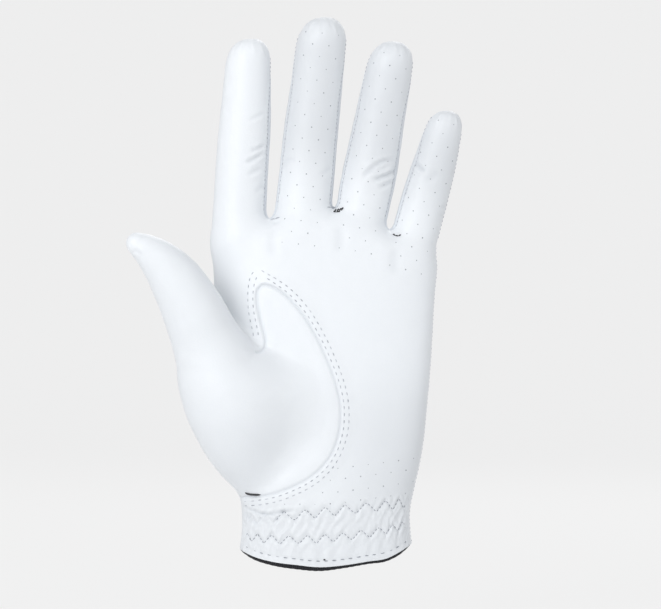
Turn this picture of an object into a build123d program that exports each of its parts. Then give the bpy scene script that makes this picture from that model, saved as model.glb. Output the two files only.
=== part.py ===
"""Left-hand golf glove in thin white leather, in the shape that the hand inside gives it.

Frame: millimetres, +Z from the wrist opening towards the fingertips, the palm side faces -Y, the thumb
is on the -X side. The origin is the centre of the wrist opening, at the lowest point of the hem.

The glove is a wall of leather between an outer hand form and an inner one. The forms are lofts, so every
panel is that wall cut along its seams, and every layer sewn on or under it is a form at another offset.
The fingers and the thumb bend at a crease, and the closure tab at its sewn root.
"""

import math
import os
from dataclasses import dataclass

from build123d import *

os.makedirs("parts", exist_ok=True)

# Leather, seams and clearances
LEATHER = 0.6
SEAM_GAP = 0.1
BEND_GAP = 0.4
FOURCHETTE_WIDTH = 8.4
FORK_GAP = 1.2

# Palm: heights from the hem, widths across X, depths across Y
PALM_LENGTH = 150.0
HEM_WIDTH = 74.0
HEM_DEPTH = 40.0
WRIST_HEIGHT = 24.0
WRIST_WIDTH = 70.0
WRIST_DEPTH = 37.0
KNUCKLE_DEPTH = 27.0
KNUCKLE_MARGIN = 0.7
PALM_ENDS = 0.74
DIGIT_ENDS = 0.9
KNUCKLE_TILT = 7.0
CROWN_HEIGHT = 14.0
HEM_RISE = 9.0
BELOW_HEM = 3.0

# Wrist: elastics, hem tape and back opening
ELASTIC = 0.6
ELASTIC_WIDTH = 6.0
ELASTIC_HEIGHTS = {"lower_elastic": 16.6, "upper_elastic": 24.6}
ELASTIC_END = 4.0
HEM_TAPE = 0.5
HEM_TAPE_WIDTH = 4.3
HEM_TAPE_SHOWING = 0.8
SLIT_X = -3.0
SLIT_WIDTH = 3.0
SLIT_LENGTH = 56.0
SLIT_BINDING = 0.5
SLIT_BINDING_WIDTH = 3.2

# Closure tab: a leather strap with a lining and hooks, on loops sewn to the back
TAB_ROOT_X = -17.0
TAB_ANCHOR_WIDTH = 8.0
TAB_TIP_X = 31.0
TAB_MIDDLE_HEIGHT = 31.0
TAB_ROOT_HEIGHT = 23.0
TAB_TIP_HEIGHT = 19.0
TAB_LINING = 0.5
TAB_LEATHER = 0.8
PAD_HEIGHT = 14.0
PAD_START_X = 5.0
PAD_END_X = 27.0
HOOKS = 0.9
LOOPS = 1.0
TAB_CLEARANCE = 0.3
TAB_OPENING = 150.0

# Fingers
CREASE_HEIGHT = 8.0
FINGER_FLATTENING = 0.92
STUB_DEPTH = 12.0
FINGER_FLEX = 75.0
THUMB_FLEX = 45.0


@dataclass(frozen=True)
class Finger:
    """One finger of the glove: sizes along it, how it stands on the palm and which sides have a fourchette."""

    name: str
    length: float
    base_width: float
    middle_width: float
    tip_width: float
    drop: float
    lean: float
    curl: float
    fourchettes: dict


FINGERS = [
    Finger("index", 74.5, 24.3, 22.5, 20.4, 1.5, 2.2, 7.0, {1: "index_fourchette"}),
    Finger(
        "middle", 82.0, 24.2, 22.8, 20.2, 0.0, 5.4, 8.0,
        {-1: "middle_fourchette_index_side", 1: "middle_fourchette_ring_side"},
    ),
    Finger(
        "ring", 76.0, 22.8, 22.2, 19.6, 3.5, 8.3, 8.0,
        {-1: "ring_fourchette_middle_side", 1: "ring_fourchette_little_side"},
    ),
    Finger("little", 56.0, 18.8, 19.0, 15.8, 12.0, 12.7, 6.0, {-1: "little_fourchette"}),
]
FOURCHETTE_END = 8.0

# Thumb: sections along it, x measured from the palm's thumb-side edge at the knuckles
THUMB_SECTIONS = [
    (29.0, -2.0, 24.0, 11.0, 8.0),
    (23.3, -5.0, 38.0, 17.0, 12.5),
    (19.3, -8.0, 50.0, 21.5, 15.5),
    (11.3, -14.0, 70.0, 23.5, 17.0),
    (1.3, -22.0, 92.0, 18.5, 14.5),
    (-7.0, -27.5, 107.5, 13.0, 11.6),
]
THUMB_STALL_SECTIONS = [
    (-12.9, -31.0, 117.0, 11.4, 10.4),
    (-19.4, -34.0, 126.4, 9.8, 9.2),
    (-24.6, -36.0, 132.6, 8.2, 7.8),
]
THUMB_TIP = (-32.6, -38.5, 140.4)
# Seam where the thumb piece meets the palm, from the wrist round to the crotch of the thumb
THUMB_SEAM = [
    (10.0, 31.5), (26.0, 33.2), (41.0, 39.5), (51.0, 50.5), (54.0, 66.0), (50.0, 85.0),
    (40.0, 106.0), (31.0, 116.0), (23.5, 119.8), (18.8, 116.0), (19.4, 108.0), (21.6, 98.0),
]
SEAM_STEPS = 22
THUMB_CROTCH = (19.6, 92.5)
SEAM_TAPE = 0.4
SEAM_TAPE_WIDTH = 3.4

KNUCKLE_WIDTH = (
    sum(finger.base_width for finger in FINGERS) + (len(FINGERS) - 1) * FORK_GAP + 2 * KNUCKLE_MARGIN
)
THUMB_EDGE_X = -KNUCKLE_WIDTH / 2
REACH = 2 * PALM_LENGTH


def ease(share):
    """Smooth step from 0 to 1."""
    share = max(0.0, min(1.0, share))
    return share * share * (3 - 2 * share)


def palm_half_sizes(height):
    """Half the palm's width and depth at a height: from the hem in to the wrist, then out to the knuckles."""
    if height < WRIST_HEIGHT:
        share = ease(height / WRIST_HEIGHT)
        width = HEM_WIDTH + (WRIST_WIDTH - HEM_WIDTH) * share
        depth = HEM_DEPTH + (WRIST_DEPTH - HEM_DEPTH) * share
    else:
        share = (height - WRIST_HEIGHT) / (PALM_LENGTH - CROWN_HEIGHT - WRIST_HEIGHT)
        width = WRIST_WIDTH + (KNUCKLE_WIDTH - WRIST_WIDTH) * math.sin(min(1.0, share) * math.pi / 2)
        depth = WRIST_DEPTH + (KNUCKLE_DEPTH - WRIST_DEPTH) * ease(share)
    return width / 2, depth / 2


def oval_section(half_width, half_depth, inset, end_share):
    """An oval of four arcs, inset all round: its two ends have a share of the half depth as their radius."""
    end_radius = half_depth * end_share
    run = half_width - end_radius
    side_radius = (run**2 + half_depth**2 - end_radius**2) / (2 * (half_depth - end_radius))
    turn = math.atan2(side_radius - half_depth, run)
    end_radius -= inset
    x = run + end_radius * math.cos(turn)
    y = end_radius * math.sin(turn)
    with BuildLine() as outline:
        ThreePointArc((x, y), (0, half_depth - inset), (-x, y))
        ThreePointArc((-x, y), (inset - half_width, 0), (-x, -y))
        ThreePointArc((-x, -y), (0, inset - half_depth), (x, -y))
        ThreePointArc((x, -y), (half_width - inset, 0), (x, y))
    return outline.line


def lofted(sections, inset, end_share=DIGIT_ENDS):
    """A solid through (plane, half width, half depth) sections, inset all round."""
    with BuildPart() as form:
        for plane, half_width, half_depth in sections:
            with BuildSketch(plane):
                add(oval_section(half_width, half_depth, inset, end_share))
                make_face()
        loft(ruled=True)
    return form.part


def palm_form(inset):
    """The palm from below the hem to a closed crown at the forks, inset from the outside of the leather."""
    sections = []
    upright = [-BELOW_HEM, WRIST_HEIGHT / 2, WRIST_HEIGHT]
    climb = PALM_LENGTH - CROWN_HEIGHT - WRIST_HEIGHT
    upright += [WRIST_HEIGHT + climb * share for share in (0.14, 0.34, 0.6, 0.82)]
    for height in upright:
        half_width, half_depth = palm_half_sizes(max(0.0, height))
        sections.append((Plane.XY.offset(height), half_width, half_depth))
    foot = PALM_LENGTH - CROWN_HEIGHT
    half_width, half_depth = palm_half_sizes(foot)
    crown = CROWN_HEIGHT - FINGERS[2].drop - inset
    for turn in (0, 25, 45, 62, 78):
        narrowing = (1 - math.cos(math.radians(turn))) * half_depth * 0.85
        height = foot + crown * math.sin(math.radians(turn))
        tilted = Plane(Vector(0, 0, height)).rotated((0, KNUCKLE_TILT * ease(0.4 + turn / 60), 0))
        sections.append((tilted, half_width - narrowing, half_depth - narrowing))
    return lofted(sections, inset, PALM_ENDS)


class FingerForm:
    """The lofts and cutting bands of one finger."""

    def __init__(self, finger, middle_x):
        self.finger = finger
        lean = math.radians(finger.lean)
        self.along = Vector(math.sin(lean), 0, math.cos(lean))
        self.across = Vector(math.cos(lean), 0, -math.sin(lean))
        self.base = Vector(middle_x, 0, PALM_LENGTH - finger.drop)
        self.side_view = Plane(self.base, x_dir=self.along, z_dir=self.across)

    def section(self, height, shrink=1.0):
        """The plane across the finger at a height above its base, and its half sizes there."""
        finger = self.finger
        share = max(0.0, min(1.0, height / finger.length))
        if share < 0.5:
            width = finger.base_width + (finger.middle_width - finger.base_width) * share / 0.5
        else:
            width = finger.middle_width + (finger.tip_width - finger.middle_width) * (share - 0.5) / 0.5
        origin = self.base + self.along * height + Vector(0, -finger.curl * share**2, 0)
        normal = self.along * finger.length + Vector(0, -2 * finger.curl * share, 0)
        plane = Plane(origin, x_dir=self.across, z_dir=normal)
        return plane, width / 2 * shrink, width / 2 * FINGER_FLATTENING * shrink

    def stub(self, inset):
        """The finger's foot, from inside the palm to just under the crease; the inside runs past it."""
        top = CREASE_HEIGHT - BEND_GAP / 2 + (2 * LEATHER if inset else 0)
        sections = []
        for height, shrink in ((-STUB_DEPTH, 0.74), (0, 1.0), (top, 1.0)):
            plane, half_width, half_depth = self.section(height, shrink)
            sections.append((plane, half_width, half_depth))
        return lofted(sections, inset)

    def stall(self, inset):
        """The finger from just over the crease to its rounded tip; the inside starts below it."""
        start = CREASE_HEIGHT + BEND_GAP / 2 - (2 * LEATHER if inset else 0)
        dome = self.finger.tip_width * 0.58
        sections = []
        for share in (0, 0.22, 0.42, 0.6, 0.8):
            height = start + (self.finger.length - dome - start) * share
            plane, half_width, half_depth = self.section(height)
            sections.append((plane, half_width, half_depth))
        for turn in (0, 22, 42, 60, 76):
            height = self.finger.length - dome + (dome - inset) * math.sin(math.radians(turn))
            plane, half_width, half_depth = self.section(height)
            shrink = (1 - inset / half_depth) * math.cos(math.radians(turn))
            sections.append((plane, half_width * shrink + inset, half_depth * shrink + inset))
        return lofted(sections, inset)

    def band(self, side, half_width_at_base, half_width_at_end):
        """A cutter through one side wall: a strip along the finger's middle that narrows towards the tip."""
        finger = self.finger
        end = finger.length - FOURCHETTE_END
        edges = {1: [], -1: []}
        for share in (-0.3, 0.2, 0.45, 0.7, 0.9, 1.0):
            height = end * share
            middle = finger.curl * (max(0.0, height) / finger.length) ** 2
            taper = 1 - ease((share - 0.45) / 0.55)
            half = half_width_at_end + (half_width_at_base - half_width_at_end) * taper
            for sign, points in edges.items():
                points.append((height, middle + sign * half))
        beyond = finger.length + 5
        last = finger.curl * (beyond / finger.length) ** 2
        with BuildPart() as cutter:
            with BuildSketch(self.side_view):
                with BuildLine():
                    upper = Spline(*edges[1])
                    lower = Spline(*edges[-1])
                    Line(upper @ 0, lower @ 0)
                    Polyline(
                        upper @ 1,
                        (beyond, last + half_width_at_end),
                        (beyond, last - half_width_at_end),
                        lower @ 1,
                    )
                make_face()
            extrude(amount=side * finger.base_width)
        return cutter.part

    def crease(self):
        """The axis the finger bends about: across it, on the palm side of the crease."""
        plane, _, half_depth = self.section(CREASE_HEIGHT)
        return Axis(plane.origin + Vector(0, -half_depth, 0), self.across)


def place_fingers():
    """Stands the fingers side by side across the knuckles, with the fork gap between them."""
    forms = []
    edge = THUMB_EDGE_X + KNUCKLE_MARGIN
    for finger in FINGERS:
        forms.append(FingerForm(finger, edge + finger.base_width / 2))
        edge += finger.base_width + FORK_GAP
    return forms


def thumb_planes(sections, tip):
    """Planes across the thumb's path, one for each section, each square to the path there."""
    centres = [Vector(THUMB_EDGE_X + x, y, z) for x, y, z, _, _ in sections]
    ends = centres + [Vector(THUMB_EDGE_X + tip[0], tip[1], tip[2])]
    planes = []
    for index, centre in enumerate(centres):
        along = (ends[index + 1] - ends[max(0, index - 1)]).normalized()
        planes.append(Plane(centre, x_dir=Vector(0, 1, 0).cross(along), z_dir=along))
    return planes


ALL_THUMB_SECTIONS = THUMB_SECTIONS + THUMB_STALL_SECTIONS
THUMB_PLANES = thumb_planes(ALL_THUMB_SECTIONS, THUMB_TIP)
THUMB_CREASE = len(THUMB_SECTIONS) - 1


def thumb_base_form(inset):
    """The ball of the thumb and its root, up to just under the thumb's crease."""
    sections = []
    for index, (_, _, _, half_width, half_depth) in enumerate(THUMB_SECTIONS):
        plane = THUMB_PLANES[index]
        if index == THUMB_CREASE:
            plane = plane.offset(-BEND_GAP / 2 + (2 * LEATHER if inset > 0 else 0))
        sections.append((plane, half_width, half_depth))
    return lofted(sections, inset)


def thumb_stall_form(inset):
    """The thumb from just over its crease to the rounded tip."""
    last = len(ALL_THUMB_SECTIONS) - 1
    sections = []
    for index in range(THUMB_CREASE, last + 1):
        _, _, _, half_width, half_depth = ALL_THUMB_SECTIONS[index]
        plane = THUMB_PLANES[index]
        if index == THUMB_CREASE:
            plane = plane.offset(BEND_GAP / 2 - (2 * LEATHER if inset > 0 else 0))
        sections.append((plane, half_width, half_depth))
    _, half_width, half_depth = sections[-1]
    tip = Vector(THUMB_EDGE_X + THUMB_TIP[0], THUMB_TIP[1], THUMB_TIP[2])
    dome = (tip - THUMB_PLANES[last].origin).length - inset
    for turn in (24, 44, 62, 77):
        shrink = (1 - inset / half_depth) * math.cos(math.radians(turn))
        plane = THUMB_PLANES[last].offset(dome * math.sin(math.radians(turn)))
        sections.append((plane, half_width * shrink + inset, half_depth * shrink + inset))
    return lofted(sections, inset)


def thumb_crease():
    """The axis the thumb bends about: on the side of its crease that faces the palm and the index finger."""
    plane = THUMB_PLANES[THUMB_CREASE]
    _, _, _, half_width, half_depth = THUMB_SECTIONS[THUMB_CREASE]
    hinge = Vector(0.45, 0.9, 0)
    hinge = (hinge - plane.z_dir * hinge.dot(plane.z_dir)).normalized()
    towards = hinge.cross(plane.z_dir)
    reach = math.hypot(half_width * towards.dot(plane.x_dir), half_depth * towards.dot(plane.y_dir))
    return Axis(plane.origin + towards * reach, hinge)


def layer(inner, outer):
    """The palm's skin between two insets from the outside of the leather; below zero is outside it."""
    with BuildPart() as skin:
        add(palm_form(inner))
        add(palm_form(outer), mode=Mode.SUBTRACT)
    return skin.part


def front_prism(sketch):
    """A flat shape in XZ carried through the palm side, up to the seam at mid depth."""
    with BuildPart() as prism:
        add(sketch)
        extrude(amount=REACH, dir=(0, -1, 0))
    return prism.part


def back_prism(sketch):
    """A flat shape in XZ carried through the back."""
    with BuildPart() as prism:
        add(sketch)
        extrude(amount=REACH, dir=(0, 1, 0))
    return prism.part


def hem_arc_points(rise):
    """The hem's curve seen from the front, raised by a distance: low in the middle, high at the sides."""
    half_width = HEM_WIDTH / 2
    return (-half_width, HEM_RISE + rise), (0, rise), (half_width, HEM_RISE + rise)


def above_hem(rise, top):
    """Everything between the hem's curve, raised by a distance, and a height, right through the glove."""
    start, middle, end = hem_arc_points(rise)
    wide = HEM_WIDTH
    with BuildPart() as block:
        with BuildSketch(Plane.XZ):
            with BuildLine():
                ThreePointArc(start, middle, end)
                Polyline(end, (wide, end[1]), (wide, top), (-wide, top), (-wide, start[1]), start)
            make_face()
        extrude(amount=REACH, both=True)
    return block.part


def thumb_seam_face(grow):
    """The area inside the thumb seam, seen from the palm side, grown by a distance."""
    crotch_z = THUMB_CROTCH[1] + grow
    low_z = THUMB_SEAM[0][1] - grow
    outside = THUMB_EDGE_X - 20
    with BuildSketch(Plane.XZ.offset(SEAM_GAP / 2)) as area:
        with BuildLine():
            path = Spline(*[(THUMB_EDGE_X + x, z) for x, z in THUMB_SEAM], mode=Mode.PRIVATE)
            shares = [step / SEAM_STEPS for step in range(SEAM_STEPS + 1)]
            seam = Spline(*[path @ share + (path % share).rotate(Axis.Z, -90) * grow for share in shares])
            Polyline(
                seam @ 1,
                (THUMB_EDGE_X + THUMB_CROTCH[0] - grow, crotch_z),
                (outside, crotch_z),
                (outside, low_z),
                seam @ 0,
            )
        make_face()
    return area.sketch


def fork_face(left, right):
    """The area between two neighbouring fingers at their fork, seen from the palm side."""
    corners = [
        left.base + left.along * (CREASE_HEIGHT + 1),
        left.base - left.along * 7,
        right.base - right.along * 7,
        right.base + right.along * (CREASE_HEIGHT + 1),
    ]
    with BuildSketch(Plane.XZ) as area:
        with BuildLine():
            Polyline(*[(corner.X, corner.Z) for corner in corners], close=True)
        make_face()
    return area.sketch


def fork_prism(left, right, half_depth):
    """A cutter through the fork between two fingers, as deep as a fourchette is wide."""
    with BuildPart() as prism:
        add(fork_face(left, right))
        extrude(amount=half_depth, dir=(0, 1, 0), both=True)
    return prism.part


def slit_face(grow, end):
    """The opening in the back of the wrist: a slot with a round end, grown by a distance."""
    half = SLIT_WIDTH / 2 + grow
    top = SLIT_LENGTH - SLIT_WIDTH / 2
    with BuildSketch(Plane.XZ) as slot:
        with BuildLine():
            ThreePointArc((SLIT_X - half, top), (SLIT_X, top + half), (SLIT_X + half, top))
            Polyline((SLIT_X + half, top), (SLIT_X + half, end), (SLIT_X - half, end), (SLIT_X - half, top))
        make_face()
    return slot.sketch


def pad_face():
    """The outline that the loops and the hooks share."""
    with BuildSketch(Plane.XZ) as pad:
        with Locations(((PAD_START_X + PAD_END_X) / 2, TAB_MIDDLE_HEIGHT)):
            RectangleRounded(PAD_END_X - PAD_START_X, PAD_HEIGHT, 2.5)
    return pad.sketch


def tab_face():
    """The tab's outline: square at its root, tapered, with a round end."""
    root, tip = TAB_ROOT_HEIGHT / 2, TAB_TIP_HEIGHT / 2
    start = TAB_ROOT_X + BEND_GAP
    shoulder = TAB_TIP_X - tip * 0.8
    with BuildSketch(Plane.XZ) as outline:
        with BuildLine():
            Polyline(
                (shoulder, TAB_MIDDLE_HEIGHT - tip),
                (start, TAB_MIDDLE_HEIGHT - root),
                (start, TAB_MIDDLE_HEIGHT + root),
                (shoulder, TAB_MIDDLE_HEIGHT + tip),
            )
            ThreePointArc(
                (shoulder, TAB_MIDDLE_HEIGHT + tip),
                (TAB_TIP_X, TAB_MIDDLE_HEIGHT),
                (shoulder, TAB_MIDDLE_HEIGHT - tip),
            )
        make_face()
    return outline.sketch


def finish_piece(piece, name):
    """Names a finished piece and writes its file."""
    piece.part.label = name
    export_step(piece.part, f"parts/{name}.step")


fingers = place_fingers()
forks = [
    ("fork_gusset_index_middle", fingers[0], fingers[1]),
    ("fork_gusset_middle_ring", fingers[1], fingers[2]),
    ("fork_gusset_ring_little", fingers[2], fingers[3]),
]

# The wall of the palm, the finger stubs and the thumb's root, before it is cut into panels
with BuildPart() as hand_wall:
    add(palm_form(0))
    for form in fingers:
        add(form.stub(0))
    add(thumb_base_form(0))
    add(palm_form(LEATHER), mode=Mode.SUBTRACT)
    for form in fingers:
        add(form.stub(LEATHER), mode=Mode.SUBTRACT)
    add(thumb_base_form(LEATHER), mode=Mode.SUBTRACT)
    add(above_hem(0, REACH), mode=Mode.INTERSECT)

# The thumb piece: the whole wall of the thumb's root, and the palm wall inside its seam
with BuildPart() as thumb_region:
    add(thumb_base_form(-SEAM_GAP))
    add(front_prism(thumb_seam_face(0)))

with BuildPart() as thumb_leather:
    add(hand_wall.part)
    add(thumb_region.part, mode=Mode.INTERSECT)
finish_piece(thumb_leather, "thumb_leather")

# What is left is parted at mid depth into palm and back, and each fork leaves room for its gusset
with BuildPart() as palm_leather:
    add(hand_wall.part)
    with Locations((0, -(REACH + SEAM_GAP) / 2, 0)):
        Box(2 * REACH, REACH, 2 * REACH, mode=Mode.INTERSECT)
    add(thumb_base_form(-2 * SEAM_GAP), mode=Mode.SUBTRACT)
    add(front_prism(thumb_seam_face(SEAM_GAP)), mode=Mode.SUBTRACT)
    for _, left, right in forks:
        add(fork_prism(left, right, FOURCHETTE_WIDTH / 2), mode=Mode.SUBTRACT)
finish_piece(palm_leather, "palm_leather")

with BuildPart() as back_leather:
    add(hand_wall.part)
    with Locations((0, (REACH + SEAM_GAP) / 2, 0)):
        Box(2 * REACH, REACH, 2 * REACH, mode=Mode.INTERSECT)
    add(thumb_base_form(-2 * SEAM_GAP), mode=Mode.SUBTRACT)
    for _, left, right in forks:
        add(fork_prism(left, right, FOURCHETTE_WIDTH / 2), mode=Mode.SUBTRACT)
    add(back_prism(slit_face(0, -BELOW_HEM - 1)), mode=Mode.SUBTRACT)
finish_piece(back_leather, "back_leather")

for name, left, right in forks:
    with BuildPart() as fork_gusset:
        add(hand_wall.part)
        add(fork_prism(left, right, FOURCHETTE_WIDTH / 2 - SEAM_GAP), mode=Mode.INTERSECT)
    finish_piece(fork_gusset, name)

# The tape under the double stitching, along the palm side of the thumb seam
tape_low = ELASTIC_HEIGHTS["upper_elastic"] + ELASTIC_WIDTH / 2 + 1
tape_left = THUMB_EDGE_X + THUMB_CROTCH[0] - 4
with BuildPart() as tape_band:
    with BuildSketch(Plane.XZ.offset(SEAM_GAP / 2)):
        add(thumb_seam_face(SEAM_GAP + SEAM_TAPE_WIDTH))
        add(thumb_seam_face(2 * SEAM_GAP), mode=Mode.SUBTRACT)
        with Locations((tape_left, tape_low)):
            Rectangle(REACH, REACH, align=(Align.MIN, Align.MIN), mode=Mode.INTERSECT)
    extrude(amount=REACH)

with BuildPart() as thumb_seam_tape:
    add(layer(LEATHER + SEAM_GAP, LEATHER + SEAM_GAP + SEAM_TAPE))
    add(tape_band.part, mode=Mode.INTERSECT)
    add(thumb_base_form(-3 * SEAM_GAP), mode=Mode.SUBTRACT)
finish_piece(thumb_seam_tape, "thumb_seam_tape")

# The elastics inside the palm side of the wrist, and the dark tape inside the hem
for name, height in ELASTIC_HEIGHTS.items():
    with BuildPart() as elastic:
        add(layer(LEATHER + SEAM_GAP, LEATHER + SEAM_GAP + ELASTIC))
        with Locations((0, -REACH / 2 - ELASTIC_END, height)):
            Box(2 * REACH, REACH, ELASTIC_WIDTH, mode=Mode.INTERSECT)
    finish_piece(elastic, name)

with BuildPart() as hem_tape:
    add(layer(LEATHER + SEAM_GAP, LEATHER + SEAM_GAP + HEM_TAPE))
    add(above_hem(-HEM_TAPE_SHOWING, REACH), mode=Mode.INTERSECT)
    add(above_hem(HEM_TAPE_WIDTH - HEM_TAPE_SHOWING, REACH), mode=Mode.SUBTRACT)
    add(back_prism(slit_face(0, -BELOW_HEM - 1)), mode=Mode.SUBTRACT)
finish_piece(hem_tape, "hem_tape")

# The back opening's binding, and the loops beside it
with BuildPart() as slit_binding:
    add(layer(-SEAM_GAP - SLIT_BINDING, -SEAM_GAP))
    add(back_prism(slit_face(SLIT_BINDING_WIDTH, -BELOW_HEM - 1)), mode=Mode.INTERSECT)
    add(back_prism(slit_face(0, -BELOW_HEM - 1)), mode=Mode.SUBTRACT)
    add(above_hem(0, REACH), mode=Mode.INTERSECT)
finish_piece(slit_binding, "slit_binding")

with BuildPart() as loop_pad:
    add(layer(-SEAM_GAP - LOOPS, -SEAM_GAP))
    add(back_prism(pad_face()), mode=Mode.INTERSECT)
finish_piece(loop_pad, "loop_pad")

# The closure tab, from the hooks out to the leather, and the folded root that is sewn down
HOOKS_START = SEAM_GAP + LOOPS + TAB_CLEARANCE
LINING_START = HOOKS_START + HOOKS + SEAM_GAP
TAB_START = LINING_START + TAB_LINING + SEAM_GAP
TAB_OUTSIDE = TAB_START + TAB_LEATHER
with BuildPart() as hook_pad:
    add(layer(-HOOKS_START - HOOKS, -HOOKS_START))
    add(back_prism(pad_face()), mode=Mode.INTERSECT)
finish_piece(hook_pad, "hook_pad")

with BuildPart() as tab_lining:
    add(layer(-LINING_START - TAB_LINING, -LINING_START))
    add(back_prism(tab_face()), mode=Mode.INTERSECT)
finish_piece(tab_lining, "tab_lining")

with BuildPart() as tab_leather:
    add(layer(-TAB_OUTSIDE, -TAB_START))
    add(back_prism(tab_face()), mode=Mode.INTERSECT)
    _, back_depth = palm_half_sizes(TAB_MIDDLE_HEIGHT - TAB_ROOT_HEIGHT / 2)
    tab_hinge = Axis((TAB_ROOT_X, back_depth + TAB_OUTSIDE, TAB_MIDDLE_HEIGHT), (0, 0, 1))
    RevoluteJoint("tab_hinge", axis=tab_hinge, angular_range=(0, TAB_OPENING))
finish_piece(tab_leather, "tab_leather")

with BuildPart() as tab_anchor:
    add(layer(-TAB_OUTSIDE, -SEAM_GAP))
    with BuildSketch(Plane.XZ):
        with Locations((TAB_ROOT_X - TAB_ANCHOR_WIDTH / 2, TAB_MIDDLE_HEIGHT)):
            Rectangle(TAB_ANCHOR_WIDTH, TAB_ROOT_HEIGHT)
    extrude(amount=REACH, dir=(0, 1, 0), mode=Mode.INTERSECT)
finish_piece(tab_anchor, "tab_anchor")

# The fingers: a front panel, a back panel and a fourchette on each side that faces a neighbour
joints = {"tab_hinge": tab_hinge}
for form in fingers:
    name = form.finger.name
    with BuildPart() as stall:
        add(form.stall(0))
        add(form.stall(LEATHER), mode=Mode.SUBTRACT)

    with BuildPart() as panels:
        add(stall.part)
        for side in (-1, 1):
            wide = FOURCHETTE_WIDTH if side in form.finger.fourchettes else SEAM_GAP
            add(form.band(side, wide / 2, SEAM_GAP / 2), mode=Mode.SUBTRACT)
    halves = panels.part.solids().sort_by(Axis.Y)
    for label, half in ((f"{name}_front", halves[0]), (f"{name}_back", halves[-1])):
        with BuildPart() as panel:
            add(half)
            if half is halves[0]:
                joints[f"{name}_flex"] = form.crease()
                RevoluteJoint("crease", axis=form.crease(), angular_range=(0, FINGER_FLEX))
        finish_piece(panel, label)

    for side, label in form.finger.fourchettes.items():
        with BuildPart() as fourchette:
            add(stall.part)
            band = form.band(side, FOURCHETTE_WIDTH / 2 - SEAM_GAP, SEAM_GAP / 4)
            add(band, mode=Mode.INTERSECT)
        with BuildPart() as strip:
            add(fourchette.part.solids().sort_by(SortBy.VOLUME)[-1])
            with BuildSketch(form.section(form.finger.length - FOURCHETTE_END)[0]):
                Rectangle(2 * form.finger.base_width, 2 * form.finger.base_width)
            extrude(amount=REACH, mode=Mode.SUBTRACT)
        finish_piece(strip, label)

with BuildPart() as thumb_stall:
    add(thumb_stall_form(0))
    add(thumb_stall_form(LEATHER), mode=Mode.SUBTRACT)
    joints["thumb_flex"] = thumb_crease()
    RevoluteJoint("crease", axis=thumb_crease(), angular_range=(0, THUMB_FLEX))
finish_piece(thumb_stall, "thumb_stall")

for name, axis in joints.items():
    position = [round(value, 3) for value in axis.position]
    direction = [round(value, 5) for value in axis.direction]
    print("joint", name, "at", position, "about", direction)
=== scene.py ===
"""Left-hand golf glove in thin white leather, filled as if worn, seen square on to its palm.

The leather is one smooth skin round a form of the hand. The skin is cut along the glove's seams into its
panels, each panel gets its grooves, creases and gathers, and a wall. Stitches, vent holes, tapes, elastics
and the closure tab are laid on that skin. Lengths are in millimetres until a mesh is made.
"""

from __future__ import annotations

import logging
import math
from dataclasses import dataclass
from enum import Enum
from functools import partial
from typing import Callable

import bpy
import numpy as np
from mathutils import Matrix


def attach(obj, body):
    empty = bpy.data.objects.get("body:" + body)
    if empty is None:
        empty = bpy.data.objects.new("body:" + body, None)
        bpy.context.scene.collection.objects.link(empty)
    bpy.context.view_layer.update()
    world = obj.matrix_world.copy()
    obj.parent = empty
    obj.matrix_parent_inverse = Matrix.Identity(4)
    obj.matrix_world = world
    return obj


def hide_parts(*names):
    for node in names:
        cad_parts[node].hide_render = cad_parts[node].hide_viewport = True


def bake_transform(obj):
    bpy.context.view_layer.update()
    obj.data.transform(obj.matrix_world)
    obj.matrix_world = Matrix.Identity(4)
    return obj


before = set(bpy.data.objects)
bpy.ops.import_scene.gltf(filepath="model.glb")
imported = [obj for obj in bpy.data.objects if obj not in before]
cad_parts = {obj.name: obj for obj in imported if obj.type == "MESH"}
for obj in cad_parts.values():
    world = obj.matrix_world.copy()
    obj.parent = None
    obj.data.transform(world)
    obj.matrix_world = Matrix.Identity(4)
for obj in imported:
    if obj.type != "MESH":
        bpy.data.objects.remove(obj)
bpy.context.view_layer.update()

logging.basicConfig(level=logging.INFO, format="%(message)s")
log = logging.getLogger("glove")

MM = 0.001
Array = np.ndarray


class Side(Enum):
    """The two long sides of a finger, by the sign of the way across it."""

    THUMB = -1
    LITTLE = 1


# ---------------------------------------------------------------------------------------------------------
# Fields: signed distances from the form of the hand
# ---------------------------------------------------------------------------------------------------------


def smooth_step(value: Array, low: float, high: float) -> Array:
    """Rise smoothly from 0 at low to 1 at high."""
    share = np.clip((value - low) / (high - low), 0.0, 1.0)
    return share * share * (3.0 - 2.0 * share)


def smooth_union(first: Array, second: Array, radius: float) -> Array:
    """Join two distance fields, with the valley between them filled to a radius."""
    overlap = np.maximum(radius - np.abs(first - second), 0.0) / radius
    return np.minimum(first, second) - overlap * overlap * radius / 4.0


def smooth_common(first: Array, second: Array, radius: float) -> Array:
    """Keep what two distance fields share, with the edge between them rounded to a radius."""
    return -smooth_union(-first, -second, radius)


def curve_through(at: Array, knots: Array, values: Array) -> Array:
    """Read a smooth curve through knots: a cubic whose slope at each knot is the mean of its neighbours'."""
    knots, values = np.asarray(knots, float), np.asarray(values, float)
    slopes = np.gradient(values, knots)
    span = np.clip(np.searchsorted(knots, at) - 1, 0, len(knots) - 2)
    width = knots[span + 1] - knots[span]
    t = np.clip((at - knots[span]) / width, 0.0, 1.0)
    rise = values[span] * (1 + 2 * t) * (1 - t) ** 2 + values[span + 1] * t * t * (3 - 2 * t)
    return rise + width * (slopes[span] * t * (1 - t) ** 2 - slopes[span + 1] * t * t * (1 - t))


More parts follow.
